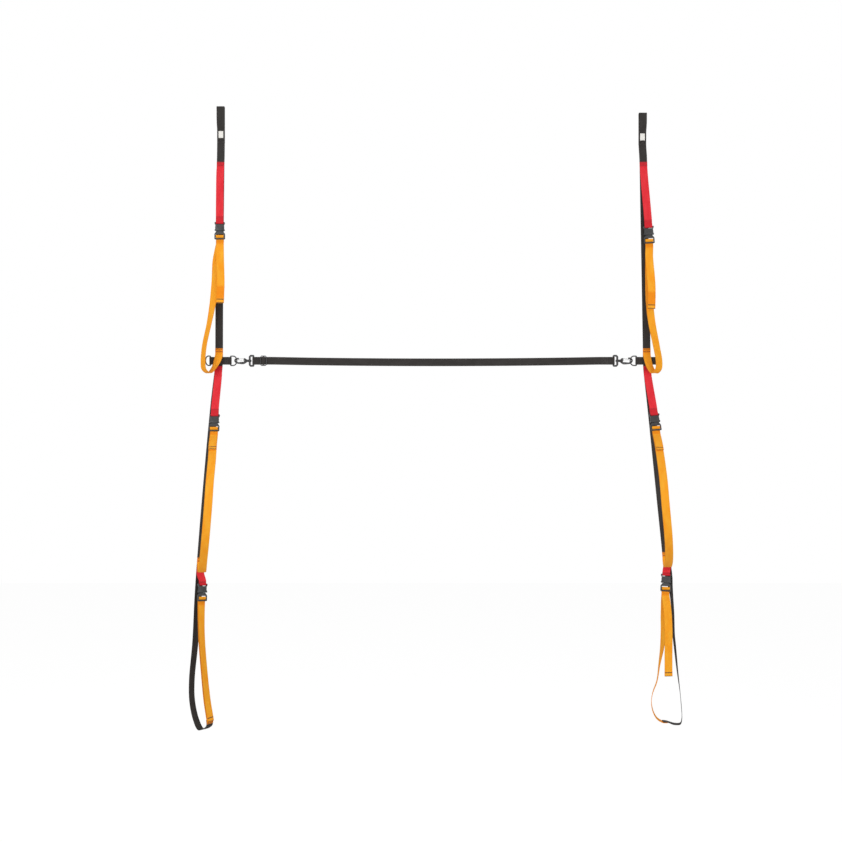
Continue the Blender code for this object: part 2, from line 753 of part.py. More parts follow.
def spreader_route(left_bar, right_bar, slider_x, y, z):
    """Return the spreader strap: slider wrap, left eye, slider again, right eye."""
    eye = EYE_THICK / 2 + GAP + WEB_THICK / 2
    bar = SLIDER_THICK / 2 + GAP + WEB_THICK / 2
    under = bar + 2 * LAYER + 0.0001
    base = y - (bar + under) / 2
    reach = slider_x - left_bar
    local = [(-reach + 0.011, bar + LAYER), (-0.0090, bar + LAYER), (-0.0062, 0.0037),
             (-0.0042, 0.0022)]
    local += [(-0.00075 + px, py) for px, py in arc((0, 0), bar, 180, 270, 4)]
    local += [(0.00075 + px, py) for px, py in arc((0, 0), bar, 270, 385, 5)]
    local += [(0.0014, 0.0044), (-0.0015, under - 0.0002), (-0.0050, under),
              (-0.0090, under), (-reach + 0.0095, under)]
    course = [(slider_x + px, base + py) for px, py in local]
    course += arc((left_bar, y), eye, 75, 285, 9)
    over = [(-reach + 0.0095, bar), (-0.0110, bar + 0.0001), (-0.0082, bar + 0.0001),
            (-0.0066, 0.0016), (-0.0060, 0.0002), (-0.0055, -0.0014), (-0.0044, -0.0032),
            (-0.0020, -bar - LAYER - 0.0001)]
    course += [(slider_x + px, base + py) for px, py in over]
    course += [(slider_x - px, base + py) for px, py in reversed(over[1:])]
    front = y - LAYER / 2
    rear = y + LAYER / 2
    course += [(slider_x + 0.030, base + bar), (right_bar - 0.30, front),
               (right_bar - 0.045, front), (right_bar - 0.016, front)]
    course += arc((right_bar, y), eye, -105, 105, 9)
    course += [(right_bar - 0.016, rear), (right_bar - 0.040, rear)]
    return [upright(px, py, z) for px, py in course]


class Backbone:
    """Main strap of a column, with the places where other straps are sewn on."""

    def __init__(self, name, x, drop, short, below):
        self.name = name
        self.x = x
        loop = hanging_loop(drop, short)
        self.below = (len(loop) - 1) * FINE
        self.knots = [(k[0] + x, *k[1:]) for k in loop]
        self.knots += [knot(x + dx, y, z, turn) for dx, y, z, turn in below]

    def seam(self, top, low, extra=0.0):
        """Return route points lying on the front between two heights."""
        rows = smooth_route(self.knots)
        forward, across = with_frames(rows)
        rows = rows[self.below:]
        forward = forward[self.below:]
        across = across[self.below:]
        out = []
        flat = LAYER + extra
        for height, away in ((top, flat), (low, flat), (low - 0.004, flat + 0.0003)):
            index = int(np.argmax(rows[:, 2] < height))
            share = (rows[index - 1, 2] - height) / (rows[index - 1, 2] - rows[index, 2])
            front = np.cross(forward[index], across[index])
            if front[1] > 0:
                front = -front
            pos = rows[index - 1, :3] * (1 - share) + rows[index, :3] * share + front * away
            side = across[index - 1] * (1 - share) + across[index] * share
            out.append((*pos, *side, WEB_WIDTH))
        return out

    def build(self):
        """Lay the strap."""
        strap(self.name, self.knots, BLACK_WEB)


def along_load(load, place, start, end, first, last, count):
    """Return tail route points that lie in front of the load strand.

    Args:
        load: route points of the load strand, sewn end first.
        place: placement of the buckle.
        start: distance below the buckle at which the tail begins.
        end: distance below the buckle at which the tail ends.
        first: distance in front of the load strand at the start.
        last: distance in front of the load strand at the end.
        count: number of points.
    """
    rows = smooth_route(list(load) + [placed(place, y, z) for y, z in ladder_weave()[:3]])
    rows = rows[:-2 * FINE]
    forward, across = with_frames(rows)
    run = np.concatenate(([0.0], np.cumsum(np.linalg.norm(np.diff(rows[:, :3], axis=0), axis=1))))
    below = run[-1] - run
    out = []
    for share in np.linspace(0, 1, count):
        want = start + (end - start) * share
        index = int(np.argmin(np.abs(below - want)))
        front = np.cross(across[index], forward[index])
        if front[1] > 0:
            front = -front
        away = first + (last - first) * math.sqrt(share)
        pos = rows[index, :3] + front * away
        out.append((*pos, *across[index], WEB_WIDTH))
    return out


def level(rows, x):
    """Return level route points from (dx, y, z, turn) rows of a column."""
    return [knot(x + dx, y, z, turn) for dx, y, z, turn in rows]


LEFT_BELOW = [
    (-0.0005, 0.0, -0.160, 0), (-0.0010, 0.0, -0.180, 0), (-0.0012, 0.0, -0.194, 0),
    (-0.0040, 0.0, -0.450, 0), (-0.0056, 0.0, -0.650, 0), (-0.0060, 0.0, -0.795, 0),
    (-0.0060, 0.0, -0.809, 0), (-0.0064, 0.0, -0.836, 0), (-0.0072, 0.0, -0.853, 0),
    (-0.0084, 0.0, -0.867, 1), (-0.0215, -0.0008, -0.980, 4), (-0.0500, -0.0040, -1.300, 12),
    (-0.0645, -0.0060, -1.485, 18), (-0.0655, -0.0060, -1.499, 19),
    (-0.0665, -0.0062, -1.512, 20), (-0.0676, -0.0064, -1.526, 22),
    (-0.0692, -0.0069, -1.548, 25), (-0.0712, -0.0076, -1.576, 29),
    (-0.0745, -0.0085, -1.626, 36), (-0.0812, -0.0090, -1.758, 42),
    (-0.0930, -0.0080, -1.890, 46), (-0.0915, -0.0100, -1.956, 48),
    (-0.0790, -0.0190, -2.013, 48), (-0.0610, -0.0345, -2.0425, 48),
    (-0.0430, -0.0450, -2.0380, 47), (-0.0325, -0.0500, -2.0305, 47),
    (-0.0282, -0.0532, -2.0240, 47),
]

RIGHT_BELOW = [
    (0.0022, 0.0, -0.160, 0), (0.0030, 0.0, -0.180, 0), (0.0033, 0.0, -0.194, 0),
    (0.0080, 0.0, -0.450, 0), (0.0115, 0.0, -0.650, 0), (0.0139, 0.0, -0.795, 0),
    (0.0140, 0.0, -0.809, 0), (0.0143, 0.0, -0.836, 0), (0.0150, 0.0, -0.853, 0),
    (0.0158, 0.0, -0.867, 0), (0.0280, -0.0008, -0.980, -3), (0.0600, -0.0040, -1.300, -9),
    (0.0765, -0.0058, -1.466, -16), (0.0776, -0.0059, -1.480, -17),
    (0.0785, -0.0060, -1.492, -18), (0.0798, -0.0062, -1.506, -20),
    (0.0850, -0.0095, -1.545, -35), (0.0888, -0.0125, -1.575, -62),
    (0.0920, -0.0150, -1.612, -88), (0.0970, -0.0160, -1.665, -90),
    (0.0980, -0.0160, -1.735, -90), (0.1040, -0.0160, -1.768, -90),
    (0.1110, -0.0160, -1.854, -90), (0.1175, -0.0160, -1.903, -90),
    (0.1230, -0.0160, -1.949, -90), (0.1262, -0.0160, -2.0175, -90),
    (0.1210, -0.0160, -2.0290, -90), (0.1000, -0.0160, -2.0300, -90),
]


def left_slings(spine):
    """Return the three slings of the left column, top to bottom."""
    x = spine.x
    first = frame_matrix((x - 0.0020, -0.0120, -0.4375))
    one = Sling(
        "left_upper", spine.seam(-0.180, -0.194) + level([(-0.0022, -0.0026, -0.215, 0)], x),
        first,
        spine.seam(-0.795, -0.809) + level([
            (-0.0080, -0.0054, -0.827, -9), (-0.0180, -0.0140, -0.855, -36),
            (-0.0340, -0.0300, -0.8775, -45), (-0.0480, -0.0440, -0.866, -45),
            (-0.0505, -0.0465, -0.843, -45), (-0.0470, -0.0430, -0.790, -45),
            (-0.0330, -0.0330, -0.715, -42), (-0.0240, -0.0190, -0.650, -28),
            (-0.0175, -0.0085, -0.575, -12), (-0.0145, -0.0062, -0.510, -6),
            (-0.0090, -0.0062, -0.480, -2)], x),
        level([(-0.0014, -0.0110, -0.470, 0), (0.0000, -0.0165, -0.505, 10),
               (0.0018, -0.0205, -0.545, 14), (0.0028, -0.0230, -0.583, 6),
               (0.0012, -0.0280, -0.6465, 0)], x),
        0.058)
    second = frame_matrix((x - 0.0130, -0.0600, -1.0683), 0, 17, 0)
    load = spine.seam(-1.485, -1.499, TWIST_GAP) + level([
        (-0.0630, -0.0130, -1.5100, 16), (-0.0590, -0.0320, -1.5230, 14),
        (-0.0510, -0.0600, -1.5255, 10), (-0.0350, -0.1250, -1.4788, 4),
        (-0.0150, -0.1950, -1.3984, 0), (-0.0016, -0.2200, -1.2869, 0),
        (-0.0008, -0.2000, -1.2251, 0), (-0.0032, -0.1500, -1.1585, 0),
        (-0.0090, -0.0990, -1.1120, 0)], x)
    two = Sling(
        "left_middle", spine.seam(-0.853, -0.867) + level([(-0.0086, -0.0046, -0.885, 0)], x),
        second, load, along_load(load, second, 0.0125, 0.078, 0.0022, 0.0056, 7), 0.012)
    third = frame_matrix((x - 0.0580, -0.0240, -1.6260), 40, 8)
    load = level([
        (-0.0262, -0.0550, -2.0190, 47), (-0.0278, -0.0545, -2.0050, 47),
        (-0.0380, -0.0520, -1.9450, 47), (-0.0450, -0.0490, -1.8850, 46),
        (-0.0570, -0.0400, -1.7580, 43), (-0.0612, -0.0285, -1.6800, 41)], x)
    three = Sling(
        "left_lower", spine.seam(-1.512, -1.526, TWIST_GAP) + level([(-0.0664, -0.0112, -1.5365, 24)], x),
        third, load, along_load(load, third, 0.022, 0.378, 0.0030, 0.0056, 7), 0.016, 0.016)
    return [one, two, three]


def right_slings(spine):
    """Return the three slings of the right column, top to bottom."""
    x = spine.x
    first = frame_matrix((x + 0.0208, -0.0120, -0.4506), 0, 0, 3.4)
    one = Sling(
        "right_upper", spine.seam(-0.180, -0.194) + level([(0.0042, -0.0026, -0.215, 0)], x),
        first,
        spine.seam(-0.795, -0.809) + level([
            (0.0155, -0.0052, -0.827, 7), (0.0215, -0.0135, -0.855, 18),
            (0.0340, -0.0280, -0.8775, 25), (0.0445, -0.0400, -0.866, 25),
            (0.0465, -0.0430, -0.843, 25), (0.0385, -0.0385, -0.790, 22),
            (0.0265, -0.0260, -0.715, 14), (0.0215, -0.0135, -0.650, 8),
            (0.0205, -0.0085, -0.585, 4), (0.0207, -0.0064, -0.520, 1)], x),
        level([(0.0200, -0.0108, -0.485, 0), (0.0214, -0.0150, -0.520, -8),
               (0.0242, -0.0188, -0.556, -12), (0.0262, -0.0212, -0.594, -6),
               (0.0262, -0.0228, -0.627, 0), (0.0250, -0.0250, -0.6650, 0)], x),
        0.058)
    second = frame_matrix((x + 0.0340, -0.0600, -1.0657), 0, 17, 4.5)
    load = spine.seam(-1.466, -1.480, TWIST_GAP) + level([
        (0.0765, -0.0130, -1.4910, -15), (0.0745, -0.0310, -1.5055, -12),
        (0.0710, -0.0560, -1.5095, -8), (0.0625, -0.1200, -1.4794, -4),
        (0.0440, -0.2000, -1.4000, 0), (0.0300, -0.2200, -1.2869, 0),
        (0.0288, -0.2000, -1.2251, 0), (0.0305, -0.1500, -1.1585, 0),
        (0.0330, -0.0990, -1.1100, 0)], x)
    two = Sling(
        "right_middle", spine.seam(-0.853, -0.867) + level([(0.0168, -0.0046, -0.885, 0)], x),
        second, load, along_load(load, second, 0.0125, 0.080, 0.0022, 0.0056, 7), 0.012)
    third = frame_matrix((x + 0.0712, -0.0270, -1.5935), 0, 6, -3)
    load = level([
        (0.0775, -0.0160, -2.0244, -90), (0.0635, -0.0160, -2.0232, -90),
        (0.0450, -0.0160, -2.0120, -90), (0.0320, -0.0160, -1.9890, -90),
        (0.0265, -0.0160, -1.9590, -90), (0.0305, -0.0160, -1.9290, -90),
        (0.0445, -0.0160, -1.8900, -90), (0.0525, -0.0165, -1.8336, -90),
        (0.0580, -0.0170, -1.7775, -85), (0.0630, -0.0175, -1.7200, -62),
        (0.0680, -0.0180, -1.6650, -25), (0.0702, -0.0186, -1.6250, -4)], x)
    three = Sling(
        "right_lower", spine.seam(-1.492, -1.506, TWIST_GAP),
        third, load,
        level([(0.0730, -0.0270, -1.6300, 0), (0.0750, -0.0350, -1.6700, 0),
               (0.0758, -0.0400, -1.7300, 0), (0.0768, -0.0400, -1.8000, 0),
               (0.0780, -0.0385, -1.8470, 0), (0.0785, -0.0379, -1.8680, 0)], x),
        0.014, 0.009)
    return [one, two, three]


def behind(knots, layers=1):
    """Return two route points lying behind the sewn end of a strap."""
    rows = smooth_route(knots[:4])
    forward, across = with_frames(rows)
    out = []
    for index in (FINE, 0):
        side = np.cross(forward[index], across[index])
        pos = rows[index, :3] + side * LAYER * layers
        out.append((*pos, *across[index], WEB_WIDTH))
    return out


def build_column(side, x, drop, short, below, maker, strap_centre, ring_turns, meshes):
    """Build one column and return the places of its two rings."""
    spine = Backbone(side + "_backbone", x, drop, short, below)
    slings = maker(spine)
    join = behind(slings[2].load)
    spine.knots += [join[1], join[0]]
    spine.build()
    build_label(side + "_label", x, drop, short)
    for sling in slings:
        build_tab(sling)
        build_buckle(sling, meshes)
        build_sling_strap(sling)
    y_mid = 1.5 * LAYER
    centre = x + strap_centre
    route = cross_strap_route(CROSS_HALF, centre, -SPREADER_DROP, y_mid)
    strap(side + "_cross_strap", route, BLACK_WEB, 32.0)
    for tag, way, turn in (("left_ring", -1, ring_turns[0]), ("right_ring", 1, ring_turns[1])):
        pos = Vector((centre + way * CROSS_HALF, y_mid, -SPREADER_DROP))
        place = Matrix.Translation(pos) @ Matrix.Rotation(math.radians(turn), 4, "Z")
        points = [(px, 0.0, pz) for px, pz in ring_points(way)]
        wire(f"{side}_{tag}", points, RING_WIRE / 2, COATED_METAL, place, closed=True)
    return centre, y_mid


def build_snap(side, edge, y, way, lean, meshes):
    """Place one swivel eye, hook and gate.

    Args:
        side: column name.
        edge: x of the outer edge of the eye, where the hook begins.
        y: depth of the swivel axis.
        way: 1 when the hook points to +X, -1 when it points to -X.
        lean: degrees the opening of the hook is turned towards the viewer.
    """
    flip = Matrix.Identity(4) if way > 0 else Matrix.Rotation(math.pi, 4, "Z")
    bar = edge - way * (EYE_WIDTH - EYE_THICK / 2)
    height = -SPREADER_DROP
    add_object(side + "_eye", meshes["eye"].copy(), COATED_METAL,
               Matrix.Translation((bar, y, height)) @ flip)
    hook = Matrix.Translation((edge, y, height)) @ Matrix.Rotation(math.radians(lean), 4, "X")
    add_object(side + "_hook", meshes["hook"].copy(), COATED_METAL, hook @ flip)
    gate = hook @ flip @ Matrix.Translation((GATE_X, 0, GATE_Z))
    wire(side + "_gate", gate_points(), GATE_WIRE / 2, BRIGHT_WIRE, gate)
    return bar


def main():
    """Build the rack."""
    meshes = {"male": male_mesh(), "female": female_mesh(), "arm": arm_mesh(),
              "eye": eye_mesh(), "hook": hook_mesh()}
    left, depth = build_column("left", 0.0, 0.0, 0.0, LEFT_BELOW, left_slings,
                               LEFT_STRAP_CENTRE, (50, 0), meshes)
    right, _ = build_column("right", COLUMN_SPACING, RIGHT_DROP, RIGHT_LOOP_SHORT, RIGHT_BELOW,
                            right_slings, RIGHT_STRAP_CENTRE, (0, -50), meshes)
    reach = RING_DEPTH - RING_WIRE + HOOK_HOLD
    left_bar = build_snap("left", left + CROSS_HALF + reach, depth, -1, 50, meshes)
    right_bar = build_snap("right", right - CROSS_HALF - reach, depth, 1, 42, meshes)
    slider_x = left_bar + SLIDER_FROM_EYE
    route = spreader_route(left_bar, right_bar, slider_x, depth, -SPREADER_DROP)
    strap("spreader_webbing", route, BLACK_WEB, 30.0, 0.20)
    bar = SLIDER_THICK / 2 + GAP + WEB_THICK / 2
    base = depth - (bar + bar + 2 * LAYER + 0.0001) / 2
    add_object("slider", slider_mesh(), COATED_METAL,
               Matrix.Translation((slider_x, base, -SPREADER_DROP)))


main()
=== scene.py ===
"""Looks of the boat rack: webbing, stitching, buckles, rings, hooks, light and camera.

Lengths are in metres. Tables of route points are in millimetres and degrees.
"""

from __future__ import annotations

import logging
import math
from dataclasses import dataclass, field
from enum import Enum
from functools import cached_property, partial
from typing import Callable, Sequence

import bmesh
import bpy
import numpy as np
from mathutils import Matrix, Vector

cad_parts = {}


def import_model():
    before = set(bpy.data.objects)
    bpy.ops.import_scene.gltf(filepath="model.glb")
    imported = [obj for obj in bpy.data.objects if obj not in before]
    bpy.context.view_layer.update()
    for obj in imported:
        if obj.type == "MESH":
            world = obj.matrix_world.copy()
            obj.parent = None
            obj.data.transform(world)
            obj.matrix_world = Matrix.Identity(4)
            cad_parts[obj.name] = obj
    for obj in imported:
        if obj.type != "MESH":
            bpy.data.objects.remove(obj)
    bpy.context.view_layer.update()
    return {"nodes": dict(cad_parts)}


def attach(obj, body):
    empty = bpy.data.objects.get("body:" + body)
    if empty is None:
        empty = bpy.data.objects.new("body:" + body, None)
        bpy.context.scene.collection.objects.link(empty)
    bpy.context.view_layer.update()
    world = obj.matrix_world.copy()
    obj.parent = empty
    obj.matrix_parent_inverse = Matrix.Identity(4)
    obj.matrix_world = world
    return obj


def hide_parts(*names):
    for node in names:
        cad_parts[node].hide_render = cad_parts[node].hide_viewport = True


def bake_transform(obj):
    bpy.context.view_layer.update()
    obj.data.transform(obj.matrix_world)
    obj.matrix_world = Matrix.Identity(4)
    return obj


LOG = logging.getLogger("boat_rack")

ROOT_BODY = "webbing_and_male_locks"

# Webbing, as the solids have it
WEB_WIDTH = 0.0254
WEB_THICK = 0.0015
GAP = 0.0003
LAYER = WEB_THICK + GAP
CLEAR = GAP + WEB_THICK / 2
FOLD_RADIUS = 0.0010
TWIST_GAP = 0.0004
SEAM_LENGTH = 0.014
SEWN_LENGTH = 0.0145
THREAD_RISE = WEB_THICK / 2 + 0.00005
SAMPLES = 14

# Columns and the strap that joins them
COLUMN_SPACING = 1.391
RIGHT_DROP = 0.021
RIGHT_LOOP_SHORT = 0.013
SPREADER_Z = -0.8360
CROSS_HALF = 0.0330
RING_WIRE = 0.0040
RING_DEPTH = 0.0250
EYE_WIDTH = 0.0185
EYE_THICK = 0.0050
HOOK_HOLD = 0.0394
SLIDER_FROM_EYE = 0.0330
SLIDER_THICK = 0.0025

Knot = tuple[float, ...]
Point = tuple[float, float, float]
AddNode = Callable[..., bpy.types.Node]


def linear(hex_colour: str) -> tuple[float, ...]:
    """Turn an sRGB hex colour such as #ffa51e into linear red, green, blue and alpha."""
    parts = [int(hex_colour[i:i + 2], 16) / 255 for i in (1, 3, 5)]
    return (*(c / 12.92 if c <= 0.04045 else ((c + 0.055) / 1.055) ** 2.4 for c in parts), 1.0)


def set_all(item: bpy.types.bpy_struct, **settings: object) -> None:
    """Set several attributes of one item."""
    for key, value in settings.items():
        setattr(item, key, value)


def add_node(tree: bpy.types.NodeTree, kind: str, inputs: dict | None = None,
             **settings: object) -> bpy.types.Node:
    """Add a node with its settings and links.

    Args:
        tree: node tree of a material or a world.
        kind: type name of the node, without ShaderNode.
        inputs: for each input, by name or index, a value, an output to link, or
            a node whose first output in use is linked.
        settings: attributes of the node.

    Returns:
        The new node.
    """
    node = tree.nodes.new("ShaderNode" + kind)
    set_all(node, **settings)
    for key, value in (inputs or {}).items():
        if isinstance(value, bpy.types.Node):
            value = next(output for output in value.outputs if output.enabled)
        if isinstance(value, bpy.types.NodeSocket):
            tree.links.new(value, node.inputs[key])
        else:
            node.inputs[key].default_value = value
    return node


def give_shader(owner: bpy.types.Material | bpy.types.World, output: str,
                shade: Callable[[AddNode], bpy.types.Node]) -> None:
    """Put the nodes of one shader on a material or a world.

    Args:
        owner: the material or the world.
        output: type name of its output node.
        shade: function that adds the nodes and returns the shader.
    """
    owner.use_nodes = True
    owner.node_tree.nodes.clear()
    add = partial(add_node, owner.node_tree)
    add(output, {"Surface": shade(add)})


@dataclass(frozen=True)
class Surface:
    """A finish, with the name of its material and the record's slot."""

    name: str
    slot: str

    def shade(self, add: AddNode) -> bpy.types.Node:
        """Add the nodes of the material and return its shader."""
        raise NotImplementedError


@dataclass(frozen=True)
class WovenWebbing(Surface):
    """Polypropylene webbing, woven on a narrow loom from spun-dyed yarn.

    Eleven thick warp ribs run lengthwise, each crossed by the weft in a
    staggered bead, which gives the strap its knobbly matt face. Where a second
    layer lies behind, less light comes through and the colour is deeper.
    """

    colour: str
    bright: str
    # the colour of the grooves between ribs and beads is painted shade
    groove: str
    painted_shade_colour: str
    rib_mm: float = 25.4 / 11
    bead_mm: float = 2.7
    yarns_per_mm: Point = (2.6, 0.5, 1)
    patches_per_mm: Point = (0.05, 0.018, 1)

    def shade(self, add: AddNode) -> bpy.types.Node:
        """Draw the weave on the strap's own map in millimetres.

        Args:
            add: function that adds a node.

        Returns:
            The shader.
        """
        uv = add("UVMap", uv_map="weave")
        place = add("SeparateXYZ", {0: uv}).outputs
        rib = self.ripple(add, place["X"], self.rib_mm)
        count = add("Math", {0: place["X"], 1: 1 / self.rib_mm}, operation="MULTIPLY")
        row = add("Math", {0: count}, operation="FLOOR")
        shifted = add("Math", {0: row, 1: self.bead_mm / 2, 2: place["Y"]},
                      operation="MULTIPLY_ADD")
        bead = self.ripple(add, shifted, self.bead_mm)
        crown = add("Math", {0: rib, 1: bead}, operation="MULTIPLY")
        top = add("Math", {0: crown, 1: 0.55}, operation="POWER")
        yarn, patch = (
            add("TexNoise", {"Vector": add("Mapping", {0: uv, "Scale": scale}),
                             "Scale": 1.0, "Detail": detail})
            for scale, detail in ((self.yarns_per_mm, 2.0), (self.patches_per_mm, 3.0)))
        glow = add("MapRange", {"Value": patch, "From Min": 0.36, "From Max": 0.64})
        ground = add("Mix", {"Factor": glow, "A": linear(self.colour),
                             "B": linear(self.bright)}, data_type="RGBA")
        # painted shade: a deeper colour where another layer lies behind or a buckle is just above
        painted_layer_shade = add("Attribute", attribute_name="painted_layer_shade").outputs["Fac"]
        body = add("Mix", {"Factor": painted_layer_shade, "A": ground, "B": linear(self.painted_shade_colour)},
                   data_type="RGBA")
        # painted shade: the colour darkens to 60 % along both selvedges
        edge = add("MapRange", {"Value": self.ripple(add, place["X"], WEB_WIDTH * 1000),
                                "From Max": 0.15, "To Min": 0.60, "To Max": 1.0})
        edge_shaded_body = add("VectorMath", {0: body, "Scale": edge}, operation="SCALE")
        # painted shade: the grooves between the ribs and beads take the darker colour
        woven = add("Mix", {"Factor": top, "A": linear(self.groove), "B": edge_shaded_body},
                    data_type="RGBA")
        height = add("Math", {0: yarn, 1: 0.30, 2: top}, operation="MULTIPLY_ADD")
        bump = add("Bump", {"Height": height, "Strength": 0.55, "Distance": 0.0003})
        return add("BsdfPrincipled", {
            "Base Color": woven, "Roughness": 0.78, "IOR": 1.49, "Specular IOR Level": 0.18,
            "Sheen Weight": 0.02, "Sheen Roughness": 0.5, "Normal": bump})

    @staticmethod
    def ripple(add: AddNode, value: bpy.types.Node | bpy.types.NodeSocket,
               period: float) -> bpy.types.Node:
        """Return rounded ridges with a narrow groove at every multiple of a period.

        Args:
            add: function that adds a node.
            value: length in millimetres.
            period: distance between grooves in millimetres.

        Returns:
            Node with 0 in the grooves and 1 on the ridges.
        """
        angle = add("Math", {0: value, 1: math.pi / period}, operation="MULTIPLY")
        wave = add("Math", {0: angle}, operation="SINE")
        return add("Math", {0: wave}, operation="ABSOLUTE")


@dataclass(frozen=True)
class HardFace(Surface):
    """A smooth hard face with a fine grain and some lighter spots.

    Attributes:
        colour: colour of the face.
        worn: colour of the spots.
        grain_mm: size of the grain.
        relief: detail, strength and height of the grain.
        cloud: spots in a metre, and their detail.
        spots: levels where a spot begins and is full, and its strength.
        rough: least and greatest roughness.
        edge: radius of the softened edges.
        ior: index of refraction.
        coat: weight of the clear coat.
    """

    colour: str
    worn: str
    grain_mm: float
    relief: Point
    cloud: tuple[float, float]
    spots: Point
    rough: tuple[float, float]
    edge: float
    ior: float
    coat: float = 0.0

    def shade(self, add: AddNode) -> bpy.types.Node:
        """Draw grain and spots on object coordinates in metres.

        Args:
            add: function that adds a node.

        Returns:
            The shader.
        """
        place = add("TexCoord").outputs["Object"]
        grain, cloud = (
            add("TexNoise", {"Vector": place, "Scale": scale, "Detail": detail})
            for scale, detail in ((1000 / self.grain_mm, self.relief[0]), self.cloud))
        spot = add("MapRange", {"Value": cloud, "From Min": self.spots[0],
                                "From Max": self.spots[1], "To Max": self.spots[2]})
        colour = add("Mix", {"Factor": spot, "A": linear(self.colour),
                             "B": linear(self.worn)}, data_type="RGBA")
        rough = add("MapRange", {"Value": cloud, "From Min": 0.3, "From Max": 0.7,
                                 "To Min": self.rough[0], "To Max": self.rough[1]})
        soft = add("Bevel", {"Radius": self.edge}, samples=4)
        bump = add("Bump", {"Height": grain, "Strength": self.relief[1],
                            "Distance": self.relief[2], "Normal": soft})
        return add("BsdfPrincipled", {
            "Base Color": colour, "Roughness": rough, "IOR": self.ior,
            "Coat Weight": self.coat, "Coat Roughness": 0.2, "Normal": bump})


@dataclass(frozen=True)
class MouldedAcetal(HardFace):
    """Acetal, injection moulded in a spark-finished steel mould.

    The face is even and black with a soft sheen; the fine grain of the mould
    breaks the highlight up.
    """

    name: str = "acetal_moulded_black"
    slot: str = "black_plastic"
    colour: str = "#2c2c2d"
    worn: str = "#3a3a3b"
    grain_mm: float = 0.45
    relief: Point = (1.0, 0.25, 0.00008)
    cloud: tuple[float, float] = (140.0, 4.0)
    spots: Point = (0.52, 0.74, 1.0)
    rough: tuple[float, float] = (0.36, 0.50)
    edge: float = 0.0004
    ior: float = 1.48


@dataclass(frozen=True)
class CoatedSteel(HardFace):
    """Steel wire and cast zinc under a baked black coating.

    The coating is smooth with a faint orange peel, and is rubbed a little
    lighter where webbing and wire run over it.
    """

    name: str = "steel_black_coated"
    slot: str = "black_coated_metal"
    colour: str = "#1b1b1d"
    worn: str = "#4a4a4d"
    grain_mm: float = 1.6
    relief: Point = (1.5, 0.2, 0.0001)
    cloud: tuple[float, float] = (420.0, 5.0)
    spots: Point = (0.60, 0.72, 0.55)
    rough: tuple[float, float] = (0.28, 0.42)
    edge: float = 0.0005
    ior: float = 1.5
    coat: float = 0.3


@dataclass(frozen=True)
class DrawnWire(Surface):
    """Spring steel wire, drawn through a die and left bright.

    Fine draw lines run along the wire and stretch its highlight.
    """

    name: str = "spring_steel_drawn"
    slot: str = "bright_wire"
    colour: str = "#c4c5c4"
    line_mm: float = 0.12

    def shade(self, add: AddNode) -> bpy.types.Node:
        """Draw the lines on object coordinates in metres.

        Args:
            add: function that adds a node.

        Returns:
            The shader.
        """
        place = add("TexCoord").outputs["Object"]
        stretch = add("Mapping", {0: place, "Scale": (0.08, 1.0, 1.0)})
        lines = add("TexNoise", {"Vector": stretch, "Scale": 1000 / self.line_mm,
                                 "Detail": 2.0})
        rough = add("MapRange", {"Value": lines, "From Min": 0.3, "From Max": 0.7,
                                 "To Min": 0.18, "To Max": 0.36})
        bump = add("Bump", {"Height": lines, "Strength": 0.15, "Distance": 0.00004})
        return add("BsdfPrincipled", {"Base Color": linear(self.colour), "Metallic": 1.0,
                                      "Roughness": rough, "Normal": bump})


@dataclass(frozen=True)
class TwistedThread(Surface):
    """Bonded nylon sewing thread of three twisted plies.

    The twist shows as slanting light and dark along each stitch. The plies
    are drawn 0.5 mm apart, about twice the real pitch, so that they show.
    """

    colour: str
    ply_mm: float = 0.5

    def shade(self, add: AddNode) -> bpy.types.Node:
        """Draw the plies on object coordinates in metres.

        Args:
            add: function that adds a node.

        Returns:
            The shader.
        """
        place = add("TexCoord").outputs["Object"]
        plies = add("TexWave", {"Vector": place, "Scale": 1000 / self.ply_mm / 6.283,
                                "Distortion": 0.4}, bands_direction="DIAGONAL").outputs["Fac"]
        rough = add("MapRange", {"Value": plies, "To Min": 0.42, "To Max": 0.62})
        bump = add("Bump", {"Height": plies, "Strength": 0.4, "Distance": 0.0001})
        return add("BsdfPrincipled", {"Base Color": linear(self.colour), "Roughness": rough,
                                      "IOR": 1.53, "Sheen Weight": 0.1, "Normal": bump})


@dataclass(frozen=True)
class WovenLabel(Surface):
    """Polyester label cloth, woven as satin and cut with hot knives, left blank.

    It is off-white with a close thread grid and a slight shine. The threads
    are drawn 0.5 mm apart, coarser than real, so that they show.
    """

    name: str = "polyester_label_woven"
    slot: str = "label_cloth"
    colour: str = "#eceae4"
    thread: str = "#d5d2ca"
    thread_mm: float = 0.5

    def shade(self, add: AddNode) -> bpy.types.Node:
        """Draw the threads on the label's own map in millimetres.

        Args:
            add: function that adds a node.

        Returns:
            The shader.
        """
        cells = add("TexBrick", {
            "Vector": add("UVMap", uv_map="weave"), "Scale": 1.0, "Mortar Size": 0.09,
            "Mortar Smooth": 1.0, "Brick Width": 2 * self.thread_mm,
            "Row Height": self.thread_mm}).outputs["Fac"]
        colour = add("Mix", {"Factor": cells, "A": linear(self.colour),
                             "B": linear(self.thread)}, data_type="RGBA")
        height = add("Math", {0: 1.0, 1: cells}, operation="SUBTRACT")
        bump = add("Bump", {"Height": height, "Strength": 0.35, "Distance": 0.0001})
        return add("BsdfPrincipled", {"Base Color": colour, "Roughness": 0.52, "IOR": 1.55,
                                      "Sheen Weight": 0.15, "Normal": bump})


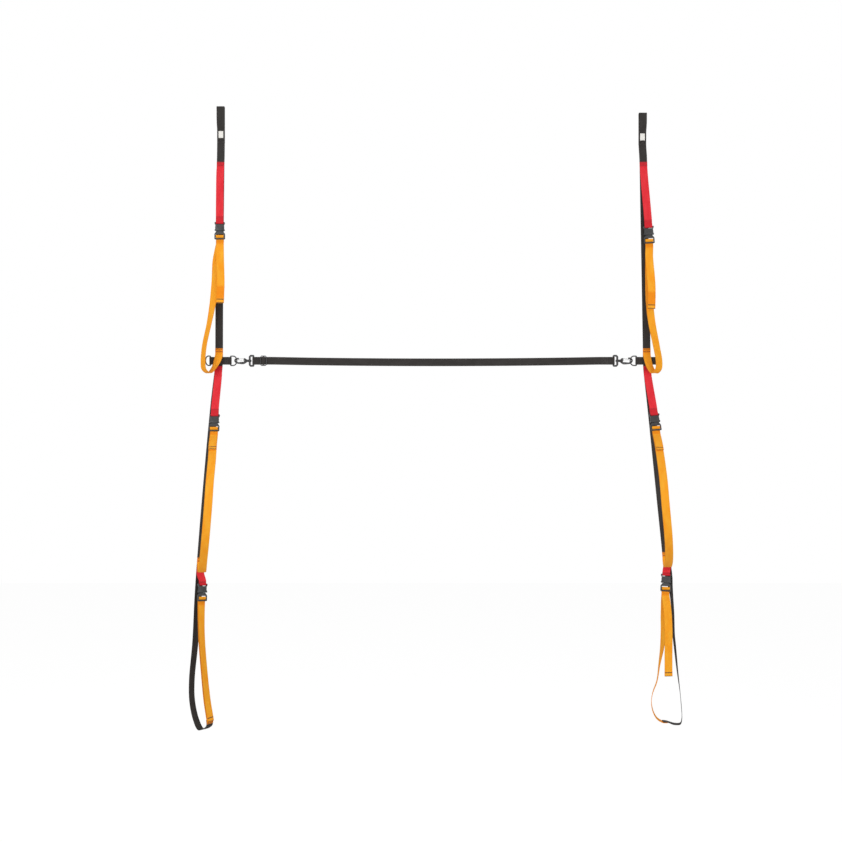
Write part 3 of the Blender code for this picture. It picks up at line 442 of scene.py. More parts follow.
class Finish(Enum):
    """Finishes of the rack's pieces."""

    BLACK_WEB = WovenWebbing("polypropylene_webbing_black", "black_webbing",
                             "#3b3836", "#454240", "#272423", "#312e2c")
    RED_WEB = WovenWebbing("polypropylene_webbing_red", "red_webbing",
                           "#ee2f3b", "#fb444c", "#c8242f", "#d22631")
    ORANGE_WEB = WovenWebbing("polypropylene_webbing_orange", "orange_webbing",
                              "#ffa41c", "#ffbd38", "#f0941a", "#f58a10")
    PLASTIC = MouldedAcetal()
    COATED = CoatedSteel()
    WIRE = DrawnWire()
    LABEL = WovenLabel()
    # black thread lightened to grey as painted highlight on the stitches
    BLACK_THREAD = TwistedThread("nylon_thread_black_painted_highlight", "black_webbing", "#565250")
    RED_THREAD = TwistedThread("nylon_thread_dark_red", "red_webbing", "#9b1a26")
    # dark rust thread, darkened further as painted shadow of the hem's lines
    ORANGE_THREAD = TwistedThread("nylon_thread_rust_painted_shadow", "orange_webbing", "#451405")

    @cached_property
    def material(self) -> bpy.types.Material:
        """Make the material when the first piece takes it.

        Returns:
            The one material that every piece of this finish shares.
        """
        material = bpy.data.materials.new(self.value.name)
        give_shader(material, "OutputMaterial", self.value.shade)
        return material

    def dress(self, obj: bpy.types.Object) -> None:
        """Give an object this finish.

        Args:
            obj: a new piece or a carried-over solid.
        """
        obj.data.materials.clear()
        obj.data.materials.append(self.material)


def add_object(name: str, data: bpy.types.ID) -> bpy.types.Object:
    """Add an object to the scene.

    Args:
        name: its name.
        data: its mesh, curve, camera or light.

    Returns:
        The new object.
    """
    obj = bpy.data.objects.new(name, data)
    bpy.context.scene.collection.objects.link(obj)
    return obj


def smooth(mesh: bpy.types.Mesh) -> None:
    """Shade every face of a mesh smooth."""
    for poly in mesh.polygons:
        poly.use_smooth = True


def knot(x: float, y: float, z: float, turn: float = 0.0) -> Knot:
    """Return a route point whose width lies level, turned by degrees about Z."""
    angle = math.radians(turn)
    return (x, y, z, math.cos(angle), math.sin(angle), 0.0)


def upright(x: float, y: float, z: float = SPREADER_Z) -> Knot:
    """Return a route point whose width stands upright."""
    return (x, y, z, 0.0, 0.0, 1.0)


def placed(matrix: Matrix, course: Sequence[tuple[float, float]]) -> list[Knot]:
    """Return route points given as (y, z) in the middle plane of a buckle."""
    across = matrix.to_3x3() @ Vector((1, 0, 0))
    return [(*(matrix @ Vector((0.0, y, z))), *across) for y, z in course]


def arc(centre: tuple[float, float], radius: float, start: float, end: float,
        count: int) -> list[tuple[float, float]]:
    """Return a number of points on an arc between two angles in degrees."""
    return [(centre[0] + radius * math.cos(math.radians(a)),
             centre[1] + radius * math.sin(math.radians(a)))
            for a in np.linspace(start, end, count)]


def facing(normal: np.ndarray, towards: Point = (0.0, -1.0, 0.0)) -> np.ndarray:
    """Return a normal, turned over where it points away from a side."""
    return -normal if normal @ np.array(towards) < 0 else normal


def smooth_route(knots: Sequence[Knot]) -> np.ndarray:
    """Return fine samples of a centripetal curve through route points.

    Args:
        knots: rows of place and width direction.

    Returns:
        SAMPLES rows for every span, and the last point.
    """
    rows = np.array(knots, dtype=float)
    step = np.sqrt(np.maximum(np.linalg.norm(np.diff(rows[:, :3], axis=0), axis=1), 1e-7))
    pace = np.diff(rows, axis=0) / step[:, None]
    slope = np.empty_like(rows)
    slope[[0, -1]] = pace[[0, -1]]
    across = (rows[2:] - rows[:-2]) / (step[:-1] + step[1:])[:, None]
    slope[1:-1] = pace[:-1] - across + pace[1:]
    s = (np.arange(SAMPLES) / SAMPLES)[:, None]
    spans = [(1 + 2 * s) * (1 - s) ** 2 * rows[i] + s * (1 - s) ** 2 * h * slope[i]
             + s * s * (3 - 2 * s) * rows[i + 1] + s * s * (s - 1) * h * slope[i + 1]
             for i, h in enumerate(step)]
    return np.vstack([*spans, rows[-1:]])


class Route:
    """Middle line of a strap with its direction, width and length at every sample."""

    def __init__(self, knots: Sequence[Knot]) -> None:
        """Sample the curve through the route points.

        Args:
            knots: rows of place and width direction.
        """
        self.rows = smooth_route(knots)
        self.pos = self.rows[:, :3]
        forward = np.gradient(self.pos, axis=0)
        self.forward = forward / np.linalg.norm(forward, axis=1)[:, None]
        across = self.rows[:, 3:6]
        across = across - (across * self.forward).sum(axis=1)[:, None] * self.forward
        self.across = across / np.linalg.norm(across, axis=1)[:, None]
        self.normal = np.cross(self.across, self.forward)
        steps = np.linalg.norm(np.diff(self.pos, axis=0), axis=1)
        self.run = np.concatenate(([0.0], np.cumsum(steps)))

    @property
    def length(self) -> float:
        """Length of the strap."""
        return float(self.run[-1])

    def at(self, s: float) -> list[np.ndarray]:
        """Look the route up at one length.

        Args:
            s: length from the start.

        Returns:
            Place, direction, width and normal.
        """
        found = [np.array([np.interp(s, self.run, table[:, i]) for i in range(3)])
                 for table in (self.pos, self.forward, self.across, self.normal)]
        return [found[0], *(v / np.linalg.norm(v) for v in found[1:])]

    def near(self, point: Sequence[float], low: float = 0.0,
             high: float = math.inf) -> float:
        """Return the length at which the strap passes closest to a point.

        Args:
            point: the place.
            low: least length that counts.
            high: greatest length that counts.

        Returns:
            Length from the start.
        """
        away = np.linalg.norm(self.pos - np.array(point), axis=1)
        away[(self.run < low) | (self.run > high)] = math.inf
        return float(self.run[int(np.argmin(away))])

    def part(self, first: int, last: int) -> Route:
        """Return the stretch between two samples, which keeps its samples.

        Args:
            first: index of its first sample.
            last: index of its last sample.

        Returns:
            The stretch as a route.
        """
        piece = Route.__new__(Route)
        for key in ("rows", "pos", "forward", "across", "normal"):
            setattr(piece, key, getattr(self, key)[first:last + 1])
        piece.run = self.run[first:last + 1] - self.run[first]
        return piece

    def stations(self, max_turn: float = math.radians(7), max_step: float = 0.006,
                 min_step: float = 0.0001) -> list[int]:
        """Return the samples that a finely bent mesh needs.

        Args:
            max_turn: greatest turn between stations.
            max_step: greatest distance between stations.
            min_step: least distance between stations.

        Returns:
            Indices of samples, first and last among them.
        """
        keep = [0]
        for i in range(1, len(self.rows) - 1):
            turn = max(math.acos(float(np.clip(table[i] @ table[keep[-1]], -1, 1)))
                       for table in (self.forward, self.across))
            run = self.run[i] - self.run[keep[-1]]
            if (turn > max_turn and run > min_step) or run > max_step:
                keep.append(i)
        if self.run[-1] - self.run[keep[-1]] < 3 * min_step:
            keep.pop()
        return [*keep, len(self.rows) - 1]


@dataclass(frozen=True)
class Bend:
    """Two bodies that a piece would bend between, and the places where it would; nothing bends
    it.
    """

    first: str
    second: str
    start: Point
    end: Point


@dataclass
class Piece:
    """A piece that follows a route.

    Attributes:
        name: name of the piece.
        route: middle line of its strap.
        finish: what it is made of.
        bend: what it would bend between, though nothing bends it; without it, it rides on the
            main body.
    """

    name: str
    route: Route
    finish: Finish
    bend: Bend | None = None

    def attach(self, obj: bpy.types.Object) -> None:
        """Dress the piece; without a bend it rides on the main body, with one it stays where it
        is.

        Args:
            obj: the piece, in place.
        """
        self.finish.dress(obj)
        if self.bend:
            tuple(self.bend.start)
            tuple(self.bend.end)
            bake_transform(obj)
        else:
            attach(obj, ROOT_BODY)


@dataclass
class Strap(Piece):
    """A length of webbing or cloth.

    Attributes:
        painted_layer_shade: (start, end) lengths drawn in the deeper colour as painted shade,
            where the strap lies on another layer or just under a buckle.
        width: width across.
        thick: thickness.
        columns: faces across the width.
    """

    painted_layer_shade: Sequence[tuple[float, float]] = ()
    width: float = WEB_WIDTH
    thick: float = WEB_THICK
    columns: int = 6

    def build(self, node: str, held: str, rests_on: Sequence[str] = ()) -> None:
        """Make the strap with its weave map, thickness and rounded selvedge.

        Args:
            node: the solid it stands for.
            held: not used.
            rests_on: not used.
        """
        route = self.route
        kept = route.stations()
        last = len(kept) - 1
        bm = bmesh.new()
        bmesh.ops.create_grid(bm, x_segments=last, y_segments=self.columns, size=1.0)
        weave = bm.loops.layers.uv.new("weave")
        # share of painted shade at each vertex, read by the webbing material
        painted_shade_share = bm.verts.layers.float.new("painted_layer_shade")
        where = {}
        for vert in bm.verts:
            index = kept[round((vert.co.x + 1) / 2 * last)]
            side = vert.co.y / 2
            where[vert] = ((side + 0.5) * self.width * 1000, route.run[index] * 1000)
            vert.co = Vector(route.pos[index]) + Vector(route.across[index]) * side * self.width
            vert[painted_shade_share] = self.painted_shade_share(float(route.run[index]))
        for face in bm.faces:
            face.smooth = True
            for loop in face.loops:
                loop[weave].uv = where[loop.vert]
        mesh = bpy.data.meshes.new(self.name)
        bm.to_mesh(mesh)
        bm.free()
        obj = add_object(self.name, mesh)
        set_all(obj.modifiers.new("thickness", "SOLIDIFY"), thickness=self.thick, offset=0.0,
                use_even_offset=True, use_quality_normals=True)
        set_all(obj.modifiers.new("selvedge", "BEVEL"), width=self.thick * 0.36, segments=2,
                limit_method="ANGLE", angle_limit=math.radians(50), harden_normals=True)
        self.attach(obj)
        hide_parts(node)
        LOG.info("strap %s: %.3f m, %d stations", self.name, route.length, len(kept))

    def painted_shade_share(self, s: float, soft: float = 0.0012) -> float:
        """Return the share of painted shade: 1 where the strap lies on another layer, 0 where it
        hangs free.
        """
        inside = [min(s - start, end - s) / soft + 0.5 for start, end in self.painted_layer_shade]
        return min(1.0, max([0.0, *inside]))


@dataclass
class Stitching(Piece):
    """Sewing on a strap: rows of separate thread stitches on both faces.

    Attributes:
        front: height of the front thread over the middle line.
        back: depth of the back thread under it.
        towards: side on which the front lies.
        stitch: length of a stitch.
        thread: thickness of the thread.
        lines: place across and length along the strap, twice for each line.
    """

    front: float = THREAD_RISE
    back: float = LAYER + THREAD_RISE
    towards: Point = (0.0, -1.0, 0.0)
    stitch: float = 0.0034
    thread: float = 0.00062
    lines: list[tuple[float, float, float, float]] = field(default_factory=list)

    def row(self, s: float, half: float = 0.0108) -> Stitching:
        """Add a row across the strap at one length."""
        self.lines.append((-half, s, half, s))
        return self

    def box(self, low: float, high: float, half: float = 0.0105) -> Stitching:
        """Add a box of stitches whose corners two diagonals join.

        Args:
            low: length at which it begins.
            high: length at which it ends.
            half: half of its width.

        Returns:
            The stitching itself.
        """
        self.lines += [(-half, low, half, low), (half, low, half, high),
                       (half, high, -half, high), (-half, high, -half, low),
                       (-half, low, half, high), (-half, high, half, low)]
        return self

    def tack(self, s: float, reach: float = 0.0026, half: float = 0.0112,
             count: int = 26) -> Stitching:
        """Add a bar tack, a dense zigzag across the strap.

        Args:
            s: length at which it lies.
            reach: height of the zigzag.
            half: half of its width.
            count: number of slanting stitches.

        Returns:
            The stitching itself.
        """
        pace = 2 * half / count
        for i in range(count):
            rise = reach / 2 if i % 2 else -reach / 2
            u = i * pace - half
            self.lines.append((u, s - rise, u + pace, s + rise))
        return self

    def build(self) -> None:
        """Make the stitches as one piece of small capsules."""
        mesh = bpy.data.meshes.new(self.name)
        whole = bmesh.new()
        for line in self.lines:
            run = bmesh.new()
            self.sew(run, *line)
            run.to_mesh(mesh)
            run.free()
            whole.from_mesh(mesh)
        whole.to_mesh(mesh)
        whole.free()
        smooth(mesh)
        self.attach(add_object(self.name, mesh))
        LOG.info("stitching %s: %d lines", self.name, len(self.lines))

    def sew(self, bm: bmesh.types.BMesh, u0: float, s0: float, u1: float,
            s1: float) -> None:
        """Sew one line of stitches on both faces.

        Args:
            bm: mesh that takes them.
            u0: place across the strap where it begins.
            s0: length at which it begins.
            u1: place across the strap where it ends.
            s1: length at which it ends.
        """
        count = max(1, round(math.hypot(u1 - u0, s1 - s0) / self.stitch))
        for i in range(count):
            ends = [(u0 + (u1 - u0) * share, s0 + (s1 - s0) * share)
                    for share in ((i + 0.10) / count, (i + 0.90) / count)]
            for height in (self.front, -self.back):
                self.capsule(bm, ends, height)

    def capsule(self, bm: bmesh.types.BMesh, ends: list[tuple[float, float]],
                height: float, fullness: float = 0.45) -> None:
        """Add one stitch, thick up to its rounded ends.

        Args:
            bm: mesh that takes it.
            ends: places across and along the strap of its two ends.
            height: height over the strap's middle line.
            fullness: how far the ball swells towards a rod.
        """
        points = []
        for u, s in ends:
            place, _, across, normal = self.route.at(s)
            normal = facing(normal, self.towards)
            points.append(Vector(place + across * u + normal * height))
        axis = points[1] - points[0]
        ball = bmesh.ops.create_uvsphere(bm, u_segments=6, v_segments=6, radius=1.0)["verts"]
        swing = Vector((0, 0, 1)).rotation_difference(axis).to_matrix().to_4x4()
        size = Matrix.Diagonal((self.thread / 2, self.thread / 2, axis.length / 2, 1.0))
        for vert in ball:
            if abs(vert.co.z) < 0.99:
                swell = math.hypot(vert.co.x, vert.co.y) ** -fullness
                vert.co.x *= swell
                vert.co.y *= swell
        place = Matrix.Translation((points[0] + points[1]) / 2) @ swing @ size
        bmesh.ops.transform(bm, matrix=place, verts=ball)


@dataclass(frozen=True)
class BuckleSizes:
    """Sizes of the buckle that the webbing runs through."""

    length: float = 0.0570
    upper_bar: float = 0.0022
    end_bar: float = 0.0024
    inner_bar: float = 0.0015
    inner_low: float = 0.0107
    inner_high: float = 0.0117

    @property
    def bar_z(self) -> float:
        """Height of the bar of the upper half."""
        return self.length - self.upper_bar - 0.0001

    def ladder_weave(self) -> list[tuple[float, float]]:
        """Lay the webbing through the ladder lock.

        Returns:
            The (y, z) course, load strand first.
        """
        inner = self.inner_bar + CLEAR
        outer = self.end_bar + CLEAR
        load = outer + LAYER
        low = (0.0, self.end_bar)
        rise = math.degrees(math.asin((load - inner) / (self.inner_high - self.end_bar)))
        cross = math.degrees(math.asin((outer + inner) / (self.inner_low - self.end_bar)))
        return [(load, -0.010), (load, -0.003), *arc(low, load, 0, rise, 3),
                *arc((0.0, self.inner_high), inner, rise, 180, 7),
                *arc((0.0, self.inner_low), inner, 180, 180 + cross, 4),
                *arc(low, outer, cross, 0, 4), (outer, -0.003), (outer, -0.010)]

    def bar_weave(self, flap: float, neck: float) -> list[tuple[float, float]]:
        """Return the (y, z) course of a tab round the bar of the upper half.

        Args:
            flap: length of the part that comes back up behind.
            neck: length over it that stays in line with it.

        Returns:
            The course, front strand first.
        """
        half = LAYER / 2
        near = self.bar_z + min(0.012, flap * 0.6)
        return [(-half, self.bar_z + flap + neck), (-half, near),
                *arc((0.0, self.bar_z), self.upper_bar + CLEAR, 180, 360, 8),
                (half, near), (half, self.bar_z + flap)]


BUCKLE = BuckleSizes()


@dataclass(frozen=True)
class LoopSizes:
    """Sizes of the sewn hanging loop at the top of a column."""

    top_flat: float = 0.0090
    depth: float = 0.0135
    corner: float = 0.0024
    open_bottom: float = 0.0705
    sewn_top: float = 0.0765
    sewn_bottom: float = 0.117
    label_width: float = 0.0155
    label_height: float = 0.0230
    label_thick: float = 0.0006
    label_inset: float = 0.0015
    label_hem: float = 0.0011

    def route(self, x: float, drop: float, short: float) -> list[Knot]:
        """Return the folded loop from its sewn end to the front strand.

        Args:
            x: where the column hangs.
            drop: height of the loop's top under the left one.
            short: length by which the open part is shorter.

        Returns:
            The route points.
        """
        rear = LAYER
        front = rear - self.depth
        back_corner = rear - self.corner
        shoulder = WEB_THICK / 2 - self.corner
        sewn_top = short - self.sewn_top
        sewn_bottom = short - self.sewn_bottom
        course = [
            (rear, sewn_bottom), (rear, sewn_top), (rear, -0.040), (rear, -0.008),
            (rear, shoulder), *arc((back_corner, shoulder), self.corner, 0, 90, 4)[1:],
            *arc((back_corner - self.top_flat, shoulder), self.corner, 90, 180, 4),
            (front, -0.010), (front + 0.0006, short / 2 - 0.035),
            (front + 0.0050, short - 0.057), (-0.0010, short - self.open_bottom),
            (0.0, sewn_top), (0.0, sewn_top - 0.004), (0.0, sewn_bottom)]
        return [knot(x, y, z - drop) for y, z in course]


LOOP = LoopSizes()


@dataclass
class Sling:
    """One sling of a column: tab, buckle and adjustable strap.

    Attributes:
        name: first part of its nodes' names.
        tab: route of the tab before the buckle.
        buckle: placement of the buckle.
        load: route from the sewn end to the buckle.
        tail: route from the buckle to the folded hem.
        hem: length of the hem.
        flap: length of the tab's part that comes back up.
        neck: length over the flap that stays in line with it.
    """

    name: str
    tab: list[Knot]
    buckle: Matrix
    load: list[Knot]
    tail: list[Knot]
    hem: float
    flap: float = 0.022
    neck: float = 0.004

    def strap_route(self) -> Route:
        """Join load strand, ladder lock, tail and folded hem.

        Returns:
            The whole strap as one route.
        """
        knots = self.load + placed(self.buckle, BUCKLE.ladder_weave()) + self.tail
        end = Vector(knots[-1][:3])
        across = Vector(knots[-1][3:6])
        along = (end - Vector(knots[-2][:3])).normalized()
        across = (across - across.dot(along) * along).normalized()
        back = across.cross(along)
        straight = [end - along * self.hem * 0.5, end - along * 0.003]
        folded = [end + along * FOLD_RADIUS * math.sin(a) + back * FOLD_RADIUS * (1 - math.cos(a))
                  for a in map(math.radians, (45, 90, 135, 180))]
        folded += [end + back * 2 * FOLD_RADIUS - along * self.hem * share
                   for share in (0.5, 1)]
        return Route([*knots[:-1], *((*point, *across) for point in straight), knots[-1],
                      *((*point, *across) for point in folded)])

    def build(self) -> None:
        """Make the tab, the strap and their stitching."""
        self.build_tab()
        self.build_strap()

    def build_tab(self) -> None:
        """Make the red tab, sewn to the main strap and round the upper bar."""
        route = Route(self.tab + placed(self.buckle, BUCKLE.bar_weave(self.flap, self.neck)))
        upper_half = self.name + "_female"
        bend = Bend(ROOT_BODY, upper_half, tuple(route.at(SEWN_LENGTH)[0]),
                    tuple(self.buckle @ Vector((0, 0, BUCKLE.bar_z))))
        half_turn = math.pi * (BUCKLE.upper_bar + CLEAR)
        top = route.length - 2 * self.flap - half_turn
        # painted shade on the tab's sewn end and on its doubled flap
        Strap(self.name + "_tab_web", route, Finish.RED_WEB, bend,
              [(-math.inf, SEWN_LENGTH), (top, math.inf)]).build(
                  self.name + "_tab", "stretched", [upper_half])
        sewn = Stitching(self.name + "_tab_seam", route, Finish.RED_THREAD, bend)
        sewn.box(0.0016, 0.0124).tack(0.0030, 0.0020).tack(0.0110, 0.0020).build()
        closed = Stitching(self.name + "_flap_seam", route, Finish.RED_THREAD, bend)
        closed.tack(top + 0.0022, 0.0022)
        closed.row(top + (0.0058 if self.flap > 0.012 else 0.0042)).build()

    def build_strap(self) -> None:
        """Make the orange strap with its sewn end, doubled hem and stitching."""
        route = self.strap_route()
        edge = 0.0016
        fold = route.length - self.hem - edge
        line = fold - min(self.hem - edge, 0.0125)
        lock = route.near(self.buckle @ Vector((0, 0, 0.011)))
        # painted shade on the sewn end, on a short stretch just under the buckle and on the
        # doubled hem
        Strap(self.name + "_strap_web", route, Finish.ORANGE_WEB, painted_layer_shade=[
            (-math.inf, SEWN_LENGTH), (lock + 0.013, lock + 0.024),
            (fold - self.hem, line)]).build(self.name + "_strap", "hung",
                                            [self.name + "_male"])
        # painted shadow: the thick dark tack by the folded end draws the shadow line along the
        # fold
        Stitching(self.name + "_hem_seam", route, Finish.ORANGE_THREAD, thread=0.0011,
                  back=2 * FOLD_RADIUS + THREAD_RISE).tack(
                      line, 0.0038).tack(fold - edge, 0.0020).build()
        out = route.at(SEWN_LENGTH / 2)[3]
        joined = Stitching(self.name + "_end_seam", route, Finish.ORANGE_THREAD,
                           towards=tuple(-out if out[1] > 0.5 else out))
        joined.box(0.0030, 0.0110).tack(0.0024).tack(0.0116).build()


@dataclass
class Spine:
    """Main strap of a column, with the places where other straps are sewn on.

    Attributes:
        side: column name.
        x: where the column hangs.
        drop: height of its loop under the left one.
        short: length by which its loop is shorter.
        below: rows under the hanging loop.
    """

    side: str
    x: float
    drop: float
    short: float
    below: Sequence[Knot]

    def __post_init__(self) -> None:
        """Lay out the hanging loop and the strap under it."""
        loop = LOOP.route(self.x, self.drop, self.short)
        self.hanging = (len(loop) - 1) * SAMPLES
        self.knots = loop + self.rows(*self.below)

    def rows(self, *rows: Knot) -> list[Knot]:
        """Return level route points from (x, y, z, turn) rows of the column."""
        return [knot(self.x + x / 1000, y / 1000, z / 1000, turn) for x, y, z, turn in rows]

    def seam(self, top_mm: float, extra: float = 0.0) -> list[Knot]:
        """Return route points of a strap end that is sewn on the front.

        Args:
            top_mm: height of the upper end.
            extra: room under the sewn strap.

        Returns:
            Three route points, top to bottom.
        """
        route = Route(self.knots)
        rows, forward, across = (table[self.hanging:] for table in (
            route.rows, route.forward, route.across))
        top, flat = top_mm / 1000, LAYER + extra
        low = top - SEAM_LENGTH
        out = []
        for height, away in ((top, flat), (low, flat), (low - 0.004, flat + 0.0003)):
            index = int(np.argmax(rows[:, 2] < height))
            share = (rows[index - 1, 2] - height) / (rows[index - 1, 2] - rows[index, 2])
            front = facing(np.cross(forward[index], across[index]))
            pos = rows[index - 1, :3] * (1 - share) + rows[index, :3] * share + front * away
            side = across[index - 1] * (1 - share) + across[index] * share
            out.append((*pos, *side))
        return out

    def buckle(self, place_mm: Point, turn: float = 0.0, tilt: float = 0.0,
               lean: float = 0.0) -> Matrix:
        """Return a buckle placement.

        Args:
            place_mm: middle of the lower end bar.
            turn: degrees about Z.
            tilt: degrees its upper end lies back.
            lean: degrees its upper end lies to the left.

        Returns:
            The placement.
        """
        spot = self.rows((*place_mm, turn))[0]
        up = Vector((-math.tan(math.radians(lean)), math.tan(math.radians(tilt)), 1.0))
        up.normalize()
        across = Vector(spot[3:])
        across = (across - across.dot(up) * up).normalized()
        matrix = Matrix((across, up.cross(across), up)).transposed().to_4x4()
        matrix.translation = Vector(spot[:3])
        return matrix

    def join(self, load: Sequence[Knot]) -> None:
        """End the strap behind the sewn end of the lowest sling's strap.

        Args:
            load: route points of that sling's load strand.
        """
        route = Route(load[:4])
        self.knots += [(*(route.pos[i] - route.normal[i] * LAYER), *route.across[i])
                       for i in (0, SAMPLES)]

    def build(self) -> None:
        """Make the strap, the label and the sewing of the hanging loop."""
        route = Route(self.knots)
        name = self.side + "_backbone"
        sewn = LOOP.sewn_bottom - LOOP.sewn_top
        front = route.near((self.x, 0.0, self.short - LOOP.sewn_top - self.drop), low=0.11)
        # painted shade on the doubled parts of the hanging loop
        Strap(name + "_web", route, Finish.BLACK_WEB,
              painted_layer_shade=[(-math.inf, sewn), (front, front + sewn)]).build(name, "hung")
        label = front + LOOP.label_height + LOOP.label_inset
        loop = Stitching(name + "_loop_seam", route, Finish.BLACK_THREAD)
        loop.box(label + 0.0012, front + sewn - 0.0016).row(front + 0.0004).build()
        cross = route.near((self.x, 0.0, SPREADER_Z), low=0.3)
        crossing = Stitching(name + "_cross_seam", route, Finish.BLACK_THREAD,
                             back=2 * LAYER + THREAD_RISE)
        crossing.box(cross - 0.0085, cross + 0.0085).build()
        self.build_label()

    def build_label(self) -> None:
        """Make the blank cloth label, sewn down near both ends."""
        y = -CLEAR - LOOP.label_thick / 2
        top = self.short - LOOP.sewn_top - LOOP.label_inset - self.drop
        route = Route([knot(self.x, y, top - LOOP.label_height * share)
                       for share in (0, 0.5, 1)])
        name = self.side + "_label"
        Strap(name + "_web", route, Finish.LABEL, width=LOOP.label_width,
              thick=LOOP.label_thick, columns=2).build(name, "laid",
                                                       [self.side + "_backbone"])
        seam = Stitching(name + "_seam", route, Finish.BLACK_THREAD, stitch=0.0024,
                         front=LOOP.label_thick / 2, back=-0.0001, thread=0.0004)
        half = LOOP.label_width / 2 - LOOP.label_hem
        seam.row(LOOP.label_hem, half).row(LOOP.label_height - LOOP.label_hem, half).build()


def along_load(load: Sequence[Knot], place: Matrix, span: tuple[float, float],
               away: tuple[float, float]) -> list[Knot]:
    """Return tail route points that lie in front of the load strand.

    Args:
        load: route points of the load strand, sewn end first.
        place: placement of the buckle.
        span: distances under the buckle at which the tail begins and ends.
        away: distances in front of the load strand there.

    Returns:
        The route points of the tail.
    """
    route = Route([*load, *placed(place, BUCKLE.ladder_weave()[:3])])
    keep = len(route.rows) - 2 * SAMPLES
    below = route.run[keep - 1] - route.run[:keep]
    out = []
    for share in np.linspace(0, 1, 7):
        want = span[0] + (span[1] - span[0]) * share
        index = int(np.argmin(np.abs(below - want)))
        across = route.across[index]
        front = facing(np.cross(across, route.forward[index]))
        room = away[0] + (away[1] - away[0]) * math.sqrt(share)
        out.append((*(route.pos[index] + front * room), *across))
    return out


LEFT_BELOW: list[Knot] = [
    (-0.5, 0, -160, 0), (-1, 0, -180, 0), (-1.2, 0, -194, 0), (-4, 0, -450, 0),
    (-5.6, 0, -650, 0), (-6, 0, -795, 0), (-6, 0, -809, 0), (-6.4, 0, -836, 0),
    (-7.2, 0, -853, 0), (-8.4, 0, -867, 1), (-21.5, -0.8, -980, 4), (-50, -4, -1300, 12),
    (-64.5, -6, -1485, 18), (-65.5, -6, -1499, 19), (-66.5, -6.2, -1512, 20),
    (-67.6, -6.4, -1526, 22), (-69.2, -6.9, -1548, 25), (-71.2, -7.6, -1576, 29),
    (-74.9, -8.5, -1626, 39), (-82.4, -9, -1758, 50), (-94.7, -8, -1890, 56),
    (-93.1, -10, -1956, 57), (-79.4, -19, -2013, 54), (-60.6, -34.5, -2042.5, 50),
    (-43, -45, -2038, 47), (-32.5, -50, -2030.5, 47), (-28.2, -53.2, -2024, 47)]

RIGHT_BELOW: list[Knot] = [
    (2.2, 0, -160, 0), (3, 0, -180, 0), (3.3, 0, -194, 0), (8, 0, -450, 0),
    (11.5, 0, -650, 0), (13.9, 0, -795, 0), (14, 0, -809, 0), (14.3, 0, -836, 0),
    (15, 0, -853, 0), (15.8, 0, -867, 0), (28, -0.8, -980, -3), (60, -4, -1300, -9),
    (76.5, -5.8, -1466, -16), (77.6, -5.9, -1480, -17), (78.5, -6, -1492, -18),
    (79.8, -6.2, -1506, -20), (85, -9.5, -1545, -35), (88.8, -12.5, -1575, -62),
    (93.2, -15, -1612, -79), (97, -16, -1665, -83), (99.2, -16, -1735, -84),
    (102.9, -16, -1768, -86), (111.8, -16, -1854, -93), (117.8, -16, -1903, -98),
    (123, -16, -1949, -102), (126.2, -16, -2017.5, -102), (121, -16, -2029, -102),
    (100, -16, -2030, -102)]


def left_slings(spine: Spine) -> list[Sling]:
    """Lay out the slings of the left column.

    Args:
        spine: its main strap.

    Returns:
        Its three slings, top to bottom.
    """
    upper = Sling(
        "left_upper", spine.seam(-180) + spine.rows((-2.2, -2.6, -215, 0)),
        spine.buckle((-2, -12, -437.5)),
        spine.seam(-795) + spine.rows(
            (-8, -5.4, -827, -9), (-18, -14, -855, -36), (-34, -30, -877.5, -45),
            (-48, -44, -866, -45), (-50.5, -46.5, -843, -45), (-47, -43, -790, -45),
            (-33, -33, -715, -42), (-24, -19, -650, -28), (-17.5, -8.5, -575, -12),
            (-14.5, -6.2, -510, -6), (-9, -6.2, -480, -2)),
        spine.rows((-1.4, -11, -470, 0), (0, -16.5, -505, 10), (1.8, -20.5, -545, 14),
                   (2.8, -23, -583, 6), (1.2, -28, -646.5, 0)),
        hem=0.058)
    buckle = spine.buckle((-13, -60, -1068.3), tilt=17)
    load = spine.seam(-1485, TWIST_GAP) + spine.rows(
        (-63, -13, -1510, 16), (-59, -32, -1523, 14), (-51, -60, -1525.5, 10),
        (-35, -125, -1478.8, 4), (-15, -195, -1398.4, 0), (-1.6, -220, -1286.9, 0),
        (-0.8, -200, -1225.1, 0), (-3.2, -150, -1158.5, 0), (-9, -99, -1112, 0))
    middle = Sling(
        "left_middle", spine.seam(-853) + spine.rows((-8.6, -4.6, -885, 0)), buckle, load,
        along_load(load, buckle, (0.0125, 0.078), (0.0022, 0.0056)), hem=0.012)
    buckle = spine.buckle((-58, -24, -1626), turn=40, tilt=8)
    load = spine.rows(
        (-26.2, -55, -2019, 47), (-27.8, -54.5, -2005, 48), (-38, -52, -1945, 54),
        (-45, -49, -1885, 57), (-57, -40, -1758, 58), (-61.2, -28.5, -1680, 53))
    lower = Sling(
        "left_lower", spine.seam(-1512, TWIST_GAP) + spine.rows(
            (-65.7, -10.2, -1539.5, 27), (-62.4, -12.4, -1548.7, 31),
            (-59, -14.4, -1556.3, 35)),
        buckle, load, along_load(load, buckle, (0.022, 0.378), (0.0028, 0.0048)),
        hem=0.016, flap=0.011, neck=0.0)
    return [upper, middle, lower]


